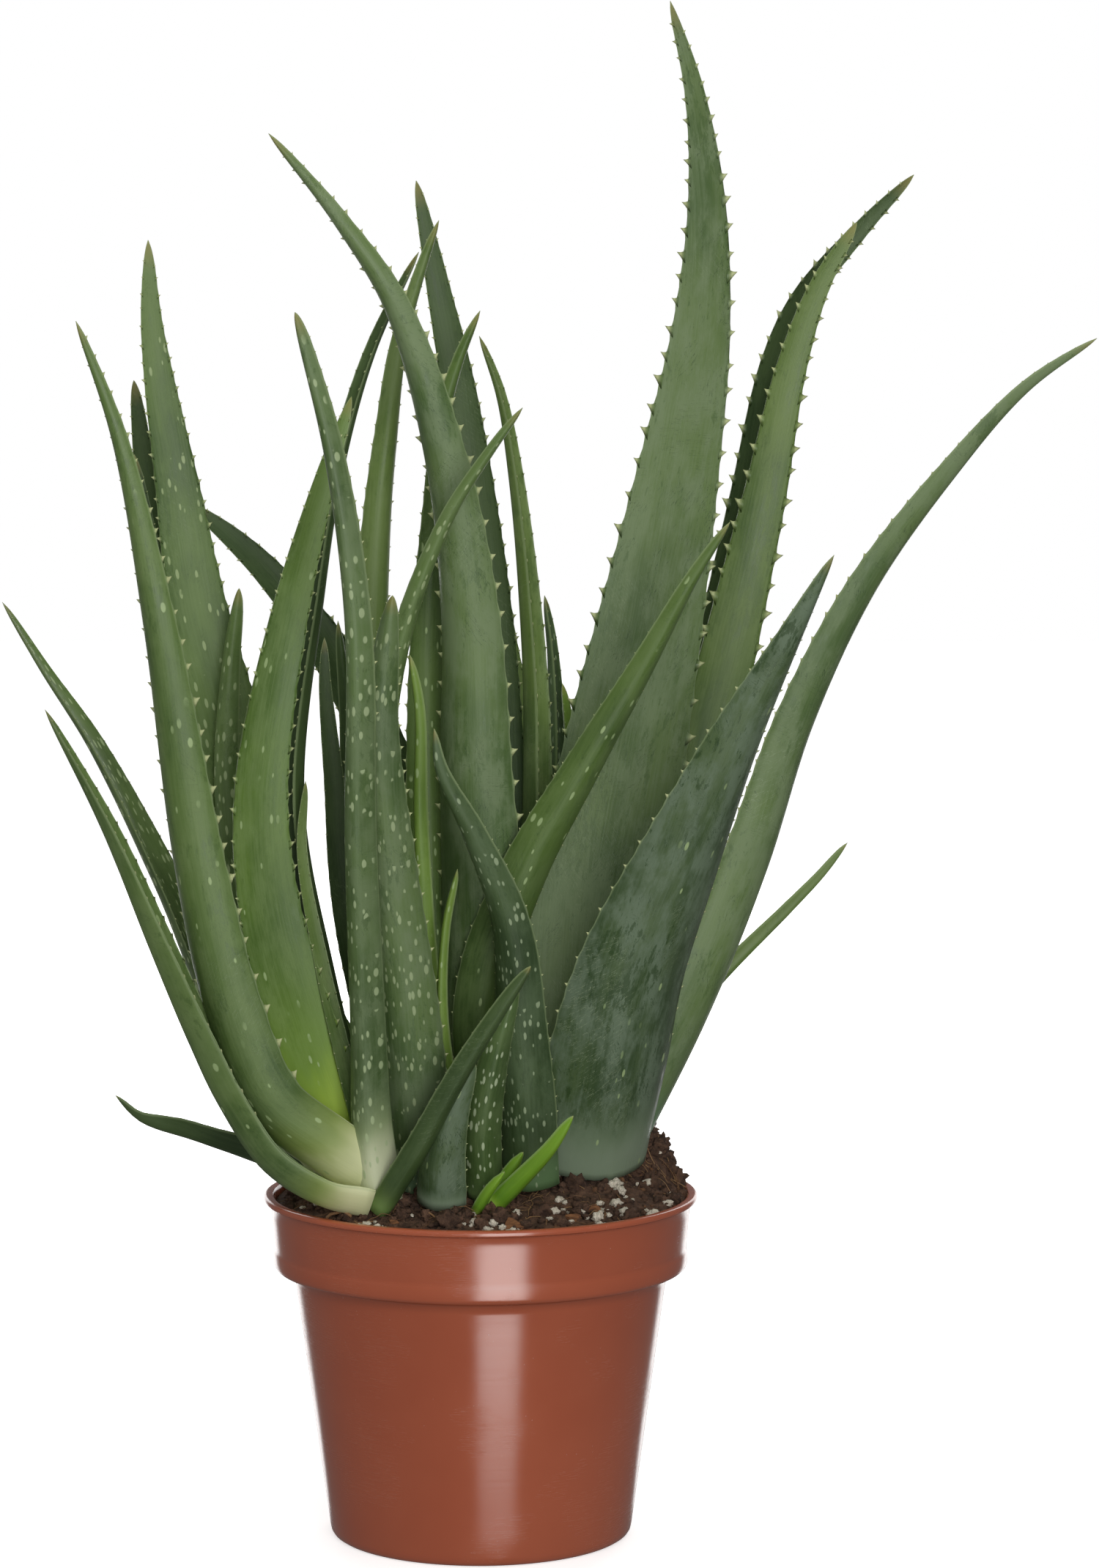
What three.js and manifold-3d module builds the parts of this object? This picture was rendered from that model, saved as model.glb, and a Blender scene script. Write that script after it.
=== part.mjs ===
// Potted aloe: a round plastic nursery pot, its potting soil, six crowns that stand in the soil
// and the leaves that grow from them, each leaf a solid of its own.
//
// Millimetres. The origin is the centre of the pot's flat underside, +Z is up and -Y is the front.

import * as THREE from "three";
import Module from "manifold-3d";
import { mergeVertices } from "three/addons/utils/BufferGeometryUtils.js";

const wasm = await Module();
wasm.setup();

// ---------------------------------------------------------------- driving dimensions

const GAP = 0.3; // clearance between the pot, the soil and the crowns
const LEAF_GAP = 0.6; // clearance round a leaf
const FINEST_EDGE = 0.15; // detail smaller than this is smoothed out of a cut solid

const POT_SEGMENTS = 36;
const POT_HEIGHT = 135;
const RIM_RADIUS = 85; // outside of the rolled rim
const BAND_TOP_RADIUS = 82.2; // upper band, just under the rim
const BAND_BOTTOM_RADIUS = 80.7;
const BEAD_RADIUS = 81.3; // shallow bead round the foot of the band
const SHOULDER_Z = 104.6; // where the body meets the overhanging band
const BODY_TOP_RADIUS = 73.3;
const BODY_BOTTOM_RADIUS = 59.4;
const WALL = 1.6;
const FLOOR = 2.4;

const DRAIN_HOLES = 6;
const DRAIN_RADIUS = 4.5;
const DRAIN_CIRCLE = 44;

const SOIL_RADIUS = 79.6;
const SOIL_EDGE_Z = 131.5;
const SOIL_CROWN = 7; // rise of the soil from its edge to its middle
const HEAPS = [
  { x: 66, y: 20, reach: 15, rise: 30 }, // loose heap thrown up at the back right
  { x: 48, y: -4, reach: 26, rise: 8 },
  { x: -44, y: -30, reach: 20, rise: 3 },
];

const RING_SPACING = 36; // distance between the rings of vertices along a leaf
const FEWEST_RINGS = 5;
const NECK_REACH = 0.12; // share of a leaf's length that its neck or sheath takes up
const TIP_WIDTH = 2.6; // every tip ends in a short blunt beak about this wide
const TIP_REACH = 5;

// ---------------------------------------------------------------- colours

const CLAY = { color: 0x93503a, roughness: 0.38 };
const PEAT = { color: 0x4a3527, roughness: 0.95 };
const CREAM = { color: 0xb9c285, roughness: 0.55 };
const GREEN = { color: 0x5f7d4b, roughness: 0.5 };
const DARK = { color: 0x3f5a35, roughness: 0.5 };
const GREY = { color: 0x66806a, roughness: 0.6 };
const BRIGHT = { color: 0x7da33f, roughness: 0.45 };

// ---------------------------------------------------------------- the plant

// Each crown is the short stem that a rosette grows from: its place, radius and height above soil.
const CROWNS = {
  left: { at: [-46, -34], radius: 11, rise: 15 },
  centre: { at: [-18, 2], radius: 11, rise: 14 },
  right: { at: [46, 6], radius: 12, rise: 12 },
  front: { at: [8, -33], radius: 6, rise: 8 },
  rear: { at: [-30, 38], radius: 10, rise: 12 },
  far: { at: [22, 40], radius: 9, rise: 12 },
};

// A leaf's route runs from its root to its tip. Its upper face looks in the compass direction
// `faces`, in degrees from +X towards +Y, and may turn from root to tip. `cup` is the depth of the
// channel in the upper face, `blunt` under 1 keeps the width up towards the tip, `neck` narrows the
// root and `sheath` widens it round the crown. A leaf is cut where it meets any leaf listed before it.
const LEAVES = {
  left_leaf_1: {
    route: [[-44, -47, 137], [-72, -55, 154], [-100, -62, 190], [-120, -66, 242], [-138, -70, 285], [-161, -74, 330]],
    width: 27, thick: 8, cup: 7, faces: [30, -10], sheath: 16, finish: GREEN,
  },
  left_leaf_2: {
    route: [[-46, -36, 144], [-72, -50, 170], [-92, -58, 213], [-107, -64, 271], [-120, -70, 362], [-133, -74, 430], [-148, -76, 474]],
    width: 33, thick: 10, cup: 3, faces: [55, 60], sheath: 4, finish: GREEN,
  },
  left_leaf_3: {
    route: [[-38, -38, 137], [-42, -47, 201], [-44, -62, 281], [-45, -78, 363], [-53, -88, 425], [-66, -94, 477]],
    width: 18, thick: 9, cup: 2, blunt: 0.55, faces: [75, 60], sheath: 7, finish: GREY,
  },
  centre_leaf_1: {
    route: [[-24, -26, 140], [-28, -48, 206], [-34, -62, 268], [-37, -74, 319], [-34, -80, 352], [-31, -84, 373]],
    width: 29, thick: 9, cup: 2, blunt: 0.6, faces: [75, 80], finish: GREEN,
  },
  right_leaf_1: {
    route: [[45, -16, 146], [52, -32, 188], [61, -44, 227], [79, -56, 273], [98, -68, 318], [117, -78, 357], [132, -86, 388]],
    width: 56, thick: 14, cup: 3, neck: 0.14, faces: [112, 125], finish: DARK,
  },
  front_leaf_1: {
    route: [[19, -29, 142], [15, -42, 201], [11, -54, 247], [-2, -66, 282], [-14, -74, 308], [-16, -76, 323]],
    width: 25, thick: 9, cup: 2, blunt: 0.85, faces: [75, 60], finish: DARK,
  },
  front_leaf_2: {
    route: [[-38, -53, 136], [-22, -61, 163], [-6, -69, 193], [8, -74, 216], [20, -77, 234]],
    width: 11, thick: 5, cup: 0.5, blunt: 0.55, faces: [110, 110], finish: BRIGHT,
  },
  front_leaf_3: {
    route: [[-15, -50, 138], [-14, -56, 158], [-9, -61, 178], [-1, -64, 196]],
    width: 17, thick: 7, cup: 1, blunt: 0.6, neck: 0.1, faces: [80, 80], finish: GREEN,
  },
  front_leaf_4: {
    route: [[2, -40, 139], [1, -48, 165], [5, -54, 191], [10, -58, 210], [15, -60, 224]],
    width: 17, thick: 8, cup: 1, blunt: 0.65, neck: 0.2, faces: [90, 90], finish: GREEN,
  },
  sprout_leaf_1: {
    route: [[5, -52, 137], [16, -58, 149], [28, -64, 163], [36, -68, 176]],
    width: 8.5, thick: 3.5, cup: 1.2, blunt: 0.6, faces: [110, 120], finish: BRIGHT,
  },
  sprout_leaf_2: {
    route: [[6, -45, 137], [11, -47, 149], [17, -49, 159]],
    width: 7, thick: 3, cup: 0.8, blunt: 0.6, faces: [100, 100], finish: BRIGHT,
  },
  sprout_leaf_3: {
    route: [[-1, -53, 136], [4, -56, 145], [10, -58, 153]],
    width: 5, thick: 2.5, cup: 0.5, blunt: 0.6, faces: [100, 100], finish: BRIGHT,
  },
  centre_leaf_2: {
    route: [[-23, -14, 144], [-36, -26, 210], [-38, -40, 290], [-30, -52, 350], [-12, -60, 399], [5, -64, 426], [17, -66, 442]],
    width: 14, thick: 6, cup: 0.8, blunt: 0.8, faces: [95, 105], finish: GREEN,
  },
  front_leaf_5: {
    route: [[-4, -30, 142], [-14, -40, 206], [-13, -42, 243], [-8, -44, 267]],
    width: 5.5, thick: 3, cup: 0.6, blunt: 0.7, faces: [70, 70], finish: BRIGHT,
  },
  right_leaf_2: {
    route: [[14, -12, 146], [2, -20, 192], [4, -24, 226], [18, -28, 264], [40, -34, 304], [63, -40, 344], [81, -46, 377], [95, -50, 399]],
    width: 25, thick: 7, cup: 2, blunt: 0.85, faces: [95, 120], finish: GREEN,
  },
  left_leaf_4: {
    route: [[-50, -30, 146], [-69, -38, 195], [-84, -44, 246], [-83, -46, 296], [-73, -44, 361], [-59, -40, 413], [-48, -36, 446]],
    width: 28, thick: 9, cup: 3, faces: [-60, -70], finish: GREEN,
  },
  left_leaf_5: {
    route: [[-42, -31, 148], [-60, -38, 226], [-68, -38, 274], [-66, -38, 300]],
    width: 8, thick: 3.5, cup: 0.8, blunt: 0.7, faces: [-60, -60], finish: BRIGHT,
  },
  left_leaf_6: {
    route: [[-40, -26, 144], [-60, -27, 224], [-71, -27, 292], [-62, -24, 371], [-54, -20, 418], [-41, -16, 463], [-23, -12, 501]],
    width: 16, thick: 6, cup: 4.5, blunt: 0.8, faces: [-150, -140], finish: DARK,
  },
  centre_leaf_3: {
    route: [[-6, -3, 146], [-1, -12, 231], [-3.5, -22, 301], [-5, -30, 360], [-13, -38, 419], [-31, -44, 479], [-52, -48, 512], [-78, -50, 544]],
    width: 39, thick: 12, cup: 3, neck: 0.25, faces: [70, 60], finish: GREY,
  },
  centre_leaf_4: {
    route: [[-14, -12, 146], [-21, -28, 239], [-23, -34, 290], [-23, -36, 327], [-26, -38, 348]],
    width: 9, thick: 4, cup: 1, blunt: 0.6, faces: [60, 60], finish: BRIGHT,
  },
  left_leaf_7: {
    route: [[-56, -22, 142], [-93, -14, 191], [-122, -8, 256], [-150, 0, 310], [-170, 4, 340], [-186, 6, 366]],
    width: 28, thick: 7, cup: 3, faces: [-20, -20], finish: DARK,
  },
  left_leaf_8: {
    route: [[-55, -12, 140], [-85, 4, 148], [-114, 12, 156], [-134, 18, 161], [-145, 20, 170]],
    width: 14, thick: 5, cup: 2.5, blunt: 0.7, faces: [0, 0], finish: DARK,
  },
  centre_leaf_5: {
    route: [[-28, -3, 144], [-52, -6, 245], [-57, -6, 299], [-60, -8, 336], [-60, -8, 353]],
    width: 14, thick: 5, cup: 1.5, blunt: 0.7, faces: [-80, -80], finish: DARK,
  },
  centre_leaf_6: {
    route: [[-24, 2, 148], [-42, 3, 258], [-42, 5, 344], [-39, 6, 401], [-36, 8, 429], [-31, 12, 466], [-23, 16, 494], [-16, 18, 514]],
    width: 22, thick: 7, cup: 1.5, blunt: 0.8, faces: [115, 115], finish: GREEN,
  },
  centre_leaf_7: {
    route: [[-16, 2, 148], [-19, 2, 258], [-20, 3, 344], [-17, 5, 401], [-14, 8, 438], [-8, 12, 460], [0, 16, 479]],
    width: 22, thick: 7, cup: 2, blunt: 0.8, faces: [115, 115], finish: BRIGHT,
  },
  centre_leaf_8: {
    route: [[-6, 7, 146], [18, 10, 243], [21, 8, 315], [18, 4, 372], [13, 0, 418], [8, -4, 446], [0, -8, 469]],
    width: 19, thick: 6, cup: 6, blunt: 0.8, faces: [-25, -20], finish: GREEN,
  },
  rear_leaf_1: {
    route: [[-36, 30, 142], [-68, 8, 177], [-90, 0, 235], [-99, -2, 292], [-97, -4, 343], [-93, -6, 372]],
    width: 17, thick: 6, cup: 1, blunt: 0.55, faces: [70, 70], finish: GREEN,
  },
  rear_leaf_2: {
    route: [[-37, 36, 143], [-66, 20, 178], [-88, 16, 242], [-99, 14, 309], [-111, 12, 363], [-118, 10, 409], [-127, 6, 472], [-128, 4, 506]],
    width: 40, thick: 11, cup: 3, blunt: 0.8, neck: 0.3, faces: [-70, -80], finish: GREEN,
  },
  rear_leaf_3: {
    route: [[-34, 43, 144], [-75, 36, 190], [-104, 32, 278], [-122, 29, 342], [-130, 27, 383], [-136, 26, 423]],
    width: 22, thick: 7, cup: 2, blunt: 0.7, faces: [-60, -70], finish: DARK,
  },
  rear_leaf_4: {
    route: [[-31, 48, 144], [-70, 54, 190], [-99, 50, 283], [-121, 45, 356], [-131, 41, 400], [-137, 38, 452]],
    width: 22, thick: 6, cup: 2, blunt: 0.6, faces: [-60, -80], finish: DARK,
  },
  rear_leaf_5: {
    route: [[-24, 40, 146], [-32, 50, 210], [-40, 56, 297], [-64, 60, 346], [-85, 63, 373], [-99, 65, 387], [-117, 67, 402]],
    width: 32, thick: 8, cup: 4, blunt: 0.65, neck: 0.2, faces: [-60, -60], finish: DARK,
  },
  centre_leaf_9: {
    route: [[-24, 10, 144], [-48, 17, 257], [-52, 18, 320], [-56, 20, 358]],
    width: 16, thick: 6, cup: 1, blunt: 0.8, faces: [110, 110], finish: GREEN,
  },
  centre_leaf_10: {
    route: [[-12, 12, 146], [3, 22, 256], [2, 32, 342], [-3, 40, 400], [-10, 48, 452], [-18, 54, 492], [-26, 58, 531]],
    width: 33, thick: 10, cup: 3, blunt: 0.75, neck: 0.2, faces: [-85, -85], finish: DARK,
  },
  right_leaf_3: {
    route: [[42, 2, 150], [46, 10, 243], [57, 12, 306], [68, 12, 363], [78, 10, 418], [86, 6, 469], [88, 0, 519], [83, -6, 561], [73, -12, 596]],
    width: 60, thick: 13, cup: 2, neck: 0.3, faces: [-95, -105], finish: GREY,
  },
  right_leaf_4: {
    route: [[56, 1, 150], [82, -1, 206], [106, 1, 264], [125, 0, 321], [150, -4, 373], [182, -12, 418], [209, -20, 449], [235, -28, 468]],
    width: 34, thick: 10, cup: 2, blunt: 0.9, neck: 0.2, faces: [140, 150], finish: GREY,
  },
  right_leaf_5: {
    route: [[52, 10, 150], [68, 22, 227], [85, 27, 296], [99, 29, 354], [111, 31, 406], [122, 34, 458], [133, 37, 489], [148, 40, 514]],
    width: 31, thick: 8, cup: 3, blunt: 0.68, neck: 0.2, faces: [-85, -80], finish: GREEN,
  },
  right_leaf_6: {
    route: [[50, 18, 150], [67, 36, 225], [86, 44, 295], [97, 50, 353], [107, 54, 405], [117, 58, 458], [128, 62, 484], [152, 68, 513], [173, 74, 534]],
    width: 32, thick: 10, cup: 4, blunt: 0.8, neck: 0.2, faces: [-85, -80], finish: DARK,
  },
  right_leaf_7: {
    route: [[50, 18, 150], [66, 24, 178], [91, 30, 211], [122, 36, 242], [135, 40, 255], [146, 44, 268]],
    width: 9, thick: 4, cup: 2, blunt: 0.7, faces: [150, 150], finish: GREEN,
  },
  far_leaf_1: {
    route: [[20, 32, 146], [28, 26, 241], [35, 26, 290], [34, 26, 316], [32, 26, 333]],
    width: 10, thick: 4, cup: 1.5, blunt: 0.6, faces: [-50, -50], finish: BRIGHT,
  },
  far_leaf_2: {
    route: [[16, 38, 146], [24, 40, 240], [29, 42, 298], [28, 41, 342], [25, 40, 367]],
    width: 17, thick: 6, cup: 4, blunt: 0.7, faces: [-25, -20], finish: DARK,
  },
  far_leaf_3: {
    route: [[30, 42, 146], [56, 62, 220], [72, 92, 300], [78, 118, 360], [76, 136, 405]],
    width: 34, thick: 10, cup: 3, blunt: 0.9, neck: 0.2, faces: [-110, -110], finish: GREEN,
  },
  far_leaf_4: {
    route: [[22, 48, 146], [22, 72, 210], [16, 106, 285], [8, 132, 350], [2, 146, 396]],
    width: 30, thick: 9, cup: 3, faces: [-90, -90], finish: GREEN,
  },
  far_leaf_5: {
    route: [[30, 46, 142], [48, 78, 170], [58, 118, 208], [64, 150, 234], [68, 172, 246]],
    width: 24, thick: 8, cup: 3, neck: 0.2, faces: [-110, -110], finish: GREEN,
  },
  rear_leaf_6: {
    route: [[-38, 46, 142], [-62, 70, 178], [-84, 98, 232], [-98, 116, 280], [-106, 126, 322]],
    width: 27, thick: 8, cup: 3, neck: 0.2, faces: [-60, -60], finish: GREEN,
  },
  rear_leaf_7: {
    route: [[-26, 48, 144], [-34, 84, 196], [-42, 118, 256], [-46, 142, 316], [-44, 156, 362]],
    width: 30, thick: 9, cup: 3, neck: 0.2, faces: [-85, -85], finish: GREEN,
  },
};

// ---------------------------------------------------------------- solids

/** A manifold solid from a closed three.js geometry. */
function solidOf(geometry) {
  const bare = geometry.clone();
  bare.deleteAttribute("normal");
  bare.deleteAttribute("uv");
  const merged = mergeVertices(bare, 1e-4);
  const mesh = new wasm.Mesh({
    numProp: 3,
    vertProperties: new Float32Array(merged.attributes.position.array),
    triVerts: new Uint32Array(merged.index.array),
  });
  return new wasm.Manifold(mesh);
}

/** A three.js geometry from a manifold solid. */
function geometryOf(solid) {
  const { vertProperties, triVerts } = solid.getMesh();
  const geometry = new THREE.BufferGeometry();
  geometry.setAttribute("position", new THREE.BufferAttribute(vertProperties, 3));
  geometry.setIndex(new THREE.BufferAttribute(triVerts, 1));
  geometry.computeVertexNormals();
  return geometry;
}

/** The largest of the separate bodies of a solid. */
function largestBody(solid) {
  const bodies = solid.decompose();
  return bodies.reduce((best, body) => (body.volume() > best.volume() ? body : best));
}

/** A closed geometry through rings of points, with a flat first end and a pointed last end. */
function skin(rings, tip) {
  const count = rings[0].length;
  const points = [...rings.flat(), tip];
  const faces = [];
  for (let i = 1; i < count - 1; i++) {
    faces.push(0, i + 1, i);
  }
  for (let r = 0; r < rings.length - 1; r++) {
    for (let i = 0; i < count; i++) {
      const a = r * count + i;
      const b = r * count + ((i + 1) % count);
      faces.push(a, b, b + count, a, b + count, a + count);
    }
  }
  const last = (rings.length - 1) * count;
  for (let i = 0; i < count; i++) {
    faces.push(last + i, last + ((i + 1) % count), points.length - 1);
  }
  const geometry = new THREE.BufferGeometry();
  geometry.setAttribute("position", new THREE.Float32BufferAttribute(points.flatMap((p) => p.toArray()), 3));
  geometry.setIndex(faces);
  return geometry;
}

/** A body of revolution about the vertical, from a profile of [radius, height] points. */
function turned(profile, segments) {
  const lathe = new THREE.LatheGeometry(profile.map(([r, z]) => new THREE.Vector2(r, z)), segments);
  return lathe.rotateX(Math.PI / 2);
}

// ---------------------------------------------------------------- pot and soil

/** The thin-walled pot: flat floor, tapered body, overhanging band with a bead, and rolled rim. */
function potSolid() {
  const profile = [
    [0, 0],
    [BODY_BOTTOM_RADIUS - 3.6, 0],
    [BODY_BOTTOM_RADIUS - 0.9, 1],
    [BODY_BOTTOM_RADIUS, 3.6],
    [BODY_TOP_RADIUS, SHOULDER_Z],
    [BAND_BOTTOM_RADIUS - 0.9, SHOULDER_Z + 1.8],
    [BEAD_RADIUS, SHOULDER_Z + 3.6],
    [BEAD_RADIUS, SHOULDER_Z + 8.2],
    [BAND_BOTTOM_RADIUS, SHOULDER_Z + 9.6],
    [BAND_TOP_RADIUS, POT_HEIGHT - 2.8],
    [RIM_RADIUS - 0.6, POT_HEIGHT - 2.6],
    [RIM_RADIUS, POT_HEIGHT - 1.4],
    [RIM_RADIUS - 1, POT_HEIGHT],
    [BAND_TOP_RADIUS - 0.6, POT_HEIGHT - 0.4],
    [BAND_TOP_RADIUS - WALL, POT_HEIGHT - 3],
    [BEAD_RADIUS - 1.4 * WALL, SHOULDER_Z + 4],
    [BODY_TOP_RADIUS - 0.2, SHOULDER_Z + 1.8],
    [BODY_TOP_RADIUS - WALL, SHOULDER_Z],
    [BODY_BOTTOM_RADIUS - WALL, FLOOR + 1.6],
    [BODY_BOTTOM_RADIUS - WALL - 1.6, FLOOR],
    [0, FLOOR],
  ];
  let pot = solidOf(turned(profile, POT_SEGMENTS));
  for (let i = 0; i < DRAIN_HOLES; i++) {
    const angle = (2 * Math.PI * (i + 0.5)) / DRAIN_HOLES;
    const hole = new THREE.CylinderGeometry(DRAIN_RADIUS, DRAIN_RADIUS, 4 * FLOOR, 10);
    hole.rotateX(Math.PI / 2);
    hole.translate(DRAIN_CIRCLE * Math.cos(angle), DRAIN_CIRCLE * Math.sin(angle), 0);
    pot = pot.subtract(solidOf(hole));
  }
  return pot;
}

/** Height of the soil's surface at a place in the pot. */
function soilHeight(x, y) {
  const out = Math.min(1, Math.hypot(x, y) / SOIL_RADIUS);
  const heaped = HEAPS.map((h) => h.rise * Math.exp(-(((x - h.x) ** 2 + (y - h.y) ** 2) / h.reach ** 2)));
  const piled = heaped.reduce((sum, rise) => sum + rise, 0);
  return SOIL_EDGE_Z + SOIL_CROWN * (1 - out ** 2) + piled * (1 - out ** 12);
}

/** The soil that fills the pot, its top raised by `lift`. */
function soilSolid(lift) {
  const wall = [
    [BODY_BOTTOM_RADIUS - WALL - 1.6 - GAP, FLOOR + GAP],
    [BODY_BOTTOM_RADIUS - WALL - GAP, FLOOR + 1.8 + GAP],
    [BODY_TOP_RADIUS - WALL - GAP, SHOULDER_Z + 0.2],
    [BODY_TOP_RADIUS - 0.6 - GAP, SHOULDER_Z + 2.3],
    [BEAD_RADIUS - 1.4 * WALL - GAP - 0.4, SHOULDER_Z + 4.6],
  ];
  const levels = [1, 0.89, 0.74, 0.52, 0.26];
  const ring = (height, radius) =>
    Array.from({ length: POT_SEGMENTS }, (_, i) => {
      const angle = (2 * Math.PI * i) / POT_SEGMENTS;
      const x = radius * Math.sin(angle);
      const y = -radius * Math.cos(angle);
      return new THREE.Vector3(x, y, height ?? soilHeight(x, y) + lift);
    });
  const rings = [
    ...wall.map(([radius, z]) => ring(z, radius)),
    ...levels.map((share) => ring(null, share * SOIL_RADIUS)),
  ];
  return solidOf(skin(rings, new THREE.Vector3(0, 0, soilHeight(0, 0) + lift)));
}

// ---------------------------------------------------------------- crowns and leaves

/** A crown: a stubby stem that tapers down into the soil and is rounded above it. */
function crownSolid({ at: [x, y], radius, rise }, grow) {
  const soil = soilHeight(x, y);
  const r = radius + grow;
  const profile = [
    [0, soil - 2.6 * radius - grow],
    [0.35 * radius + grow, soil - 2.5 * radius - grow],
    [0.8 * radius + grow, soil - radius],
    [r, soil - 1],
    [0.9 * radius + grow, soil + 0.6 * rise],
    [0.55 * radius + grow, soil + 0.92 * rise + grow],
    [0, soil + rise + grow],
  ];
  return solidOf(turned(profile, 12)).translate([x, y, 0]);
}

/** Share of a leaf's full width at a distance from its tip, as a share of its length. */
const taper = (s) => 1.25 * s + 0.5 * s ** 2 - 0.75 * s ** 3;

/** Extra width that blunts a leaf's tip, at a share `s` of the leaf's length from its tip. */
const beak = (s, length) => TIP_WIDTH * (1 - Math.exp((-s * length) / TIP_REACH)) * (1 - s) ** 2;

/** One cross-section of a leaf as [across, towards the upper face] points, margin to margin and back. */
function section(half, thick, cup) {
  const lift = (thick + cup) / 2;
  return [
    [half, lift],
    [0.5 * half, lift - 0.75 * cup],
    [0, lift - cup],
    [-0.5 * half, lift - 0.75 * cup],
    [-half, lift],
    [-0.62 * half, lift - 0.65 * (thick + cup)],
    [0, -lift],
    [0.62 * half, lift - 0.65 * (thick + cup)],
  ];
}

/** A leaf as a solid, swollen all round by `grow`. */
function leafSolid({ route, width, thick, cup, faces, blunt = 1, neck = 0.08, sheath = 0 }, grow) {
  const path = new THREE.CatmullRomCurve3(route.map((p) => new THREE.Vector3(...p)), false, "centripetal");
  const length = path.getLength();
  const count = Math.max(FEWEST_RINGS, Math.round(length / RING_SPACING));
  const rings = [];
  for (let i = 0; i <= count; i++) {
    const along = (i / count) * (1 - TIP_REACH / length);
    const full = taper(1 - along) ** blunt;
    const blunted = beak(1 - along, length);
    const base = Math.exp(-((along / NECK_REACH) ** 2));
    const half = 0.5 * (width * full * (1 - neck * base) + sheath * base + blunted) + grow;
    const body = thick * full ** 0.9 + 0.6 * blunted + 2 * grow;
    const channel = cup * full + 0.35 * sheath * base;
    const tangent = path.getTangentAt(along);
    const compass = THREE.MathUtils.degToRad(faces[0] + (faces[1] - faces[0]) * along);
    const upper = new THREE.Vector3(Math.cos(compass), Math.sin(compass), 0);
    upper.addScaledVector(tangent, -upper.dot(tangent)).normalize();
    const across = new THREE.Vector3().crossVectors(upper, tangent);
    const centre = path.getPointAt(along).addScaledVector(tangent, i === 0 ? -grow : 0);
    rings.push(
      section(half, body, channel).map(([a, n]) =>
        centre.clone().addScaledVector(across, a).addScaledVector(upper, n),
      ),
    );
  }
  const tip = path.getPointAt(1).addScaledVector(path.getTangentAt(1), 2 * grow);
  return solidOf(skin(rings, tip));
}

/** Whether two solids' boxes touch. */
function near(a, b) {
  const p = a.boundingBox();
  const q = b.boundingBox();
  return [0, 1, 2].every((k) => p.min[k] <= q.max[k] && q.min[k] <= p.max[k]);
}

/** A solid with the parts of its neighbours cut out of it. */
function cutBy(solid, neighbours) {
  const touching = neighbours.filter((other) => near(solid, other));
  const cut = touching.reduce((left, other) => left.subtract(other), solid);
  return largestBody(cut.simplify(FINEST_EDGE));
}

// ---------------------------------------------------------------- assembly

const plant = new THREE.Group();

function add(name, solid, { color, roughness }) {
  const material = new THREE.MeshStandardMaterial({ color, roughness, metalness: 0 });
  const mesh = new THREE.Mesh(geometryOf(solid), material);
  mesh.name = name;
  plant.add(mesh);
}

add("pot", potSolid(), CLAY);

const crowns = Object.entries(CROWNS);
const crownSleeves = crowns.map(([, crown]) => crownSolid(crown, GAP));
add("potting_soil", cutBy(soilSolid(0), crownSleeves), PEAT);
for (const [name, crown] of crowns) {
  add(`${name}_crown`, crownSolid(crown, 0), CREAM);
}

const taken = [soilSolid(GAP), ...crownSleeves];
for (const [name, leaf] of Object.entries(LEAVES)) {
  add(name, cutBy(leafSolid(leaf, 0), taken), leaf.finish);
  taken.push(leafSolid(leaf, LEAF_GAP));
}

export default plant;
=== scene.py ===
"""A potted aloe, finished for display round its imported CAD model.

The pot, the soil and every leaf are rebuilt in fine meshes where the CAD model holds them. Routes and
sizes of the leaves repeat those of the part's source, in millimetres, except that the first four leaves
of the left rosette are routed a little differently and a few leaves are turned or sized a little differently.
"""

import logging
import math
import random
from dataclasses import dataclass, field
from enum import Enum
from typing import Callable, Sequence

import bmesh
import bpy
import numpy as np
from mathutils import Matrix, Vector, noise


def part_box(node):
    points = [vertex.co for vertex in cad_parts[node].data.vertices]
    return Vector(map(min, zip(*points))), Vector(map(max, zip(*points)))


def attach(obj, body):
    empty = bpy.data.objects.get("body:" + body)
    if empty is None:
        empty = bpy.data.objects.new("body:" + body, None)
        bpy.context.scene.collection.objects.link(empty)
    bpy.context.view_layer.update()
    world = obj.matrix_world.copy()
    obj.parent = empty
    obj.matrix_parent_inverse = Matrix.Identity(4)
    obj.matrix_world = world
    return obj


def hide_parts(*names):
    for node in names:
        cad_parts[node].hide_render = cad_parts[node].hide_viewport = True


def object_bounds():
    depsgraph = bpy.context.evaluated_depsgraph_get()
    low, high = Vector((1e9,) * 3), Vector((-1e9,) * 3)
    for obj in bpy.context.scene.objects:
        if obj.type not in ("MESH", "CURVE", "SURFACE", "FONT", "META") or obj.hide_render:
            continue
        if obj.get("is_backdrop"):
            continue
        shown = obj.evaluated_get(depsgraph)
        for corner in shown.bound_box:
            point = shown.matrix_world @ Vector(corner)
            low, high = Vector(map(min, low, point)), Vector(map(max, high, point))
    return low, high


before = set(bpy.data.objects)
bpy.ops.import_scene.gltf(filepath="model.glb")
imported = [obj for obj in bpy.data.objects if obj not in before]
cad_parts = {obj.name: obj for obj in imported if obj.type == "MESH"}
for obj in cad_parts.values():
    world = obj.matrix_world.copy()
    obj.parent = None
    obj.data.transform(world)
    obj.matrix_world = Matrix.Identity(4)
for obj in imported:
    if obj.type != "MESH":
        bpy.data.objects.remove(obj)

MM = 0.001
BODY = "root"
log = logging.getLogger("aloe")

Colour = tuple[float, float, float, float]
Point = tuple[float, float, float]
WHITE: Colour = (1.0, 1.0, 1.0, 1.0)


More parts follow.
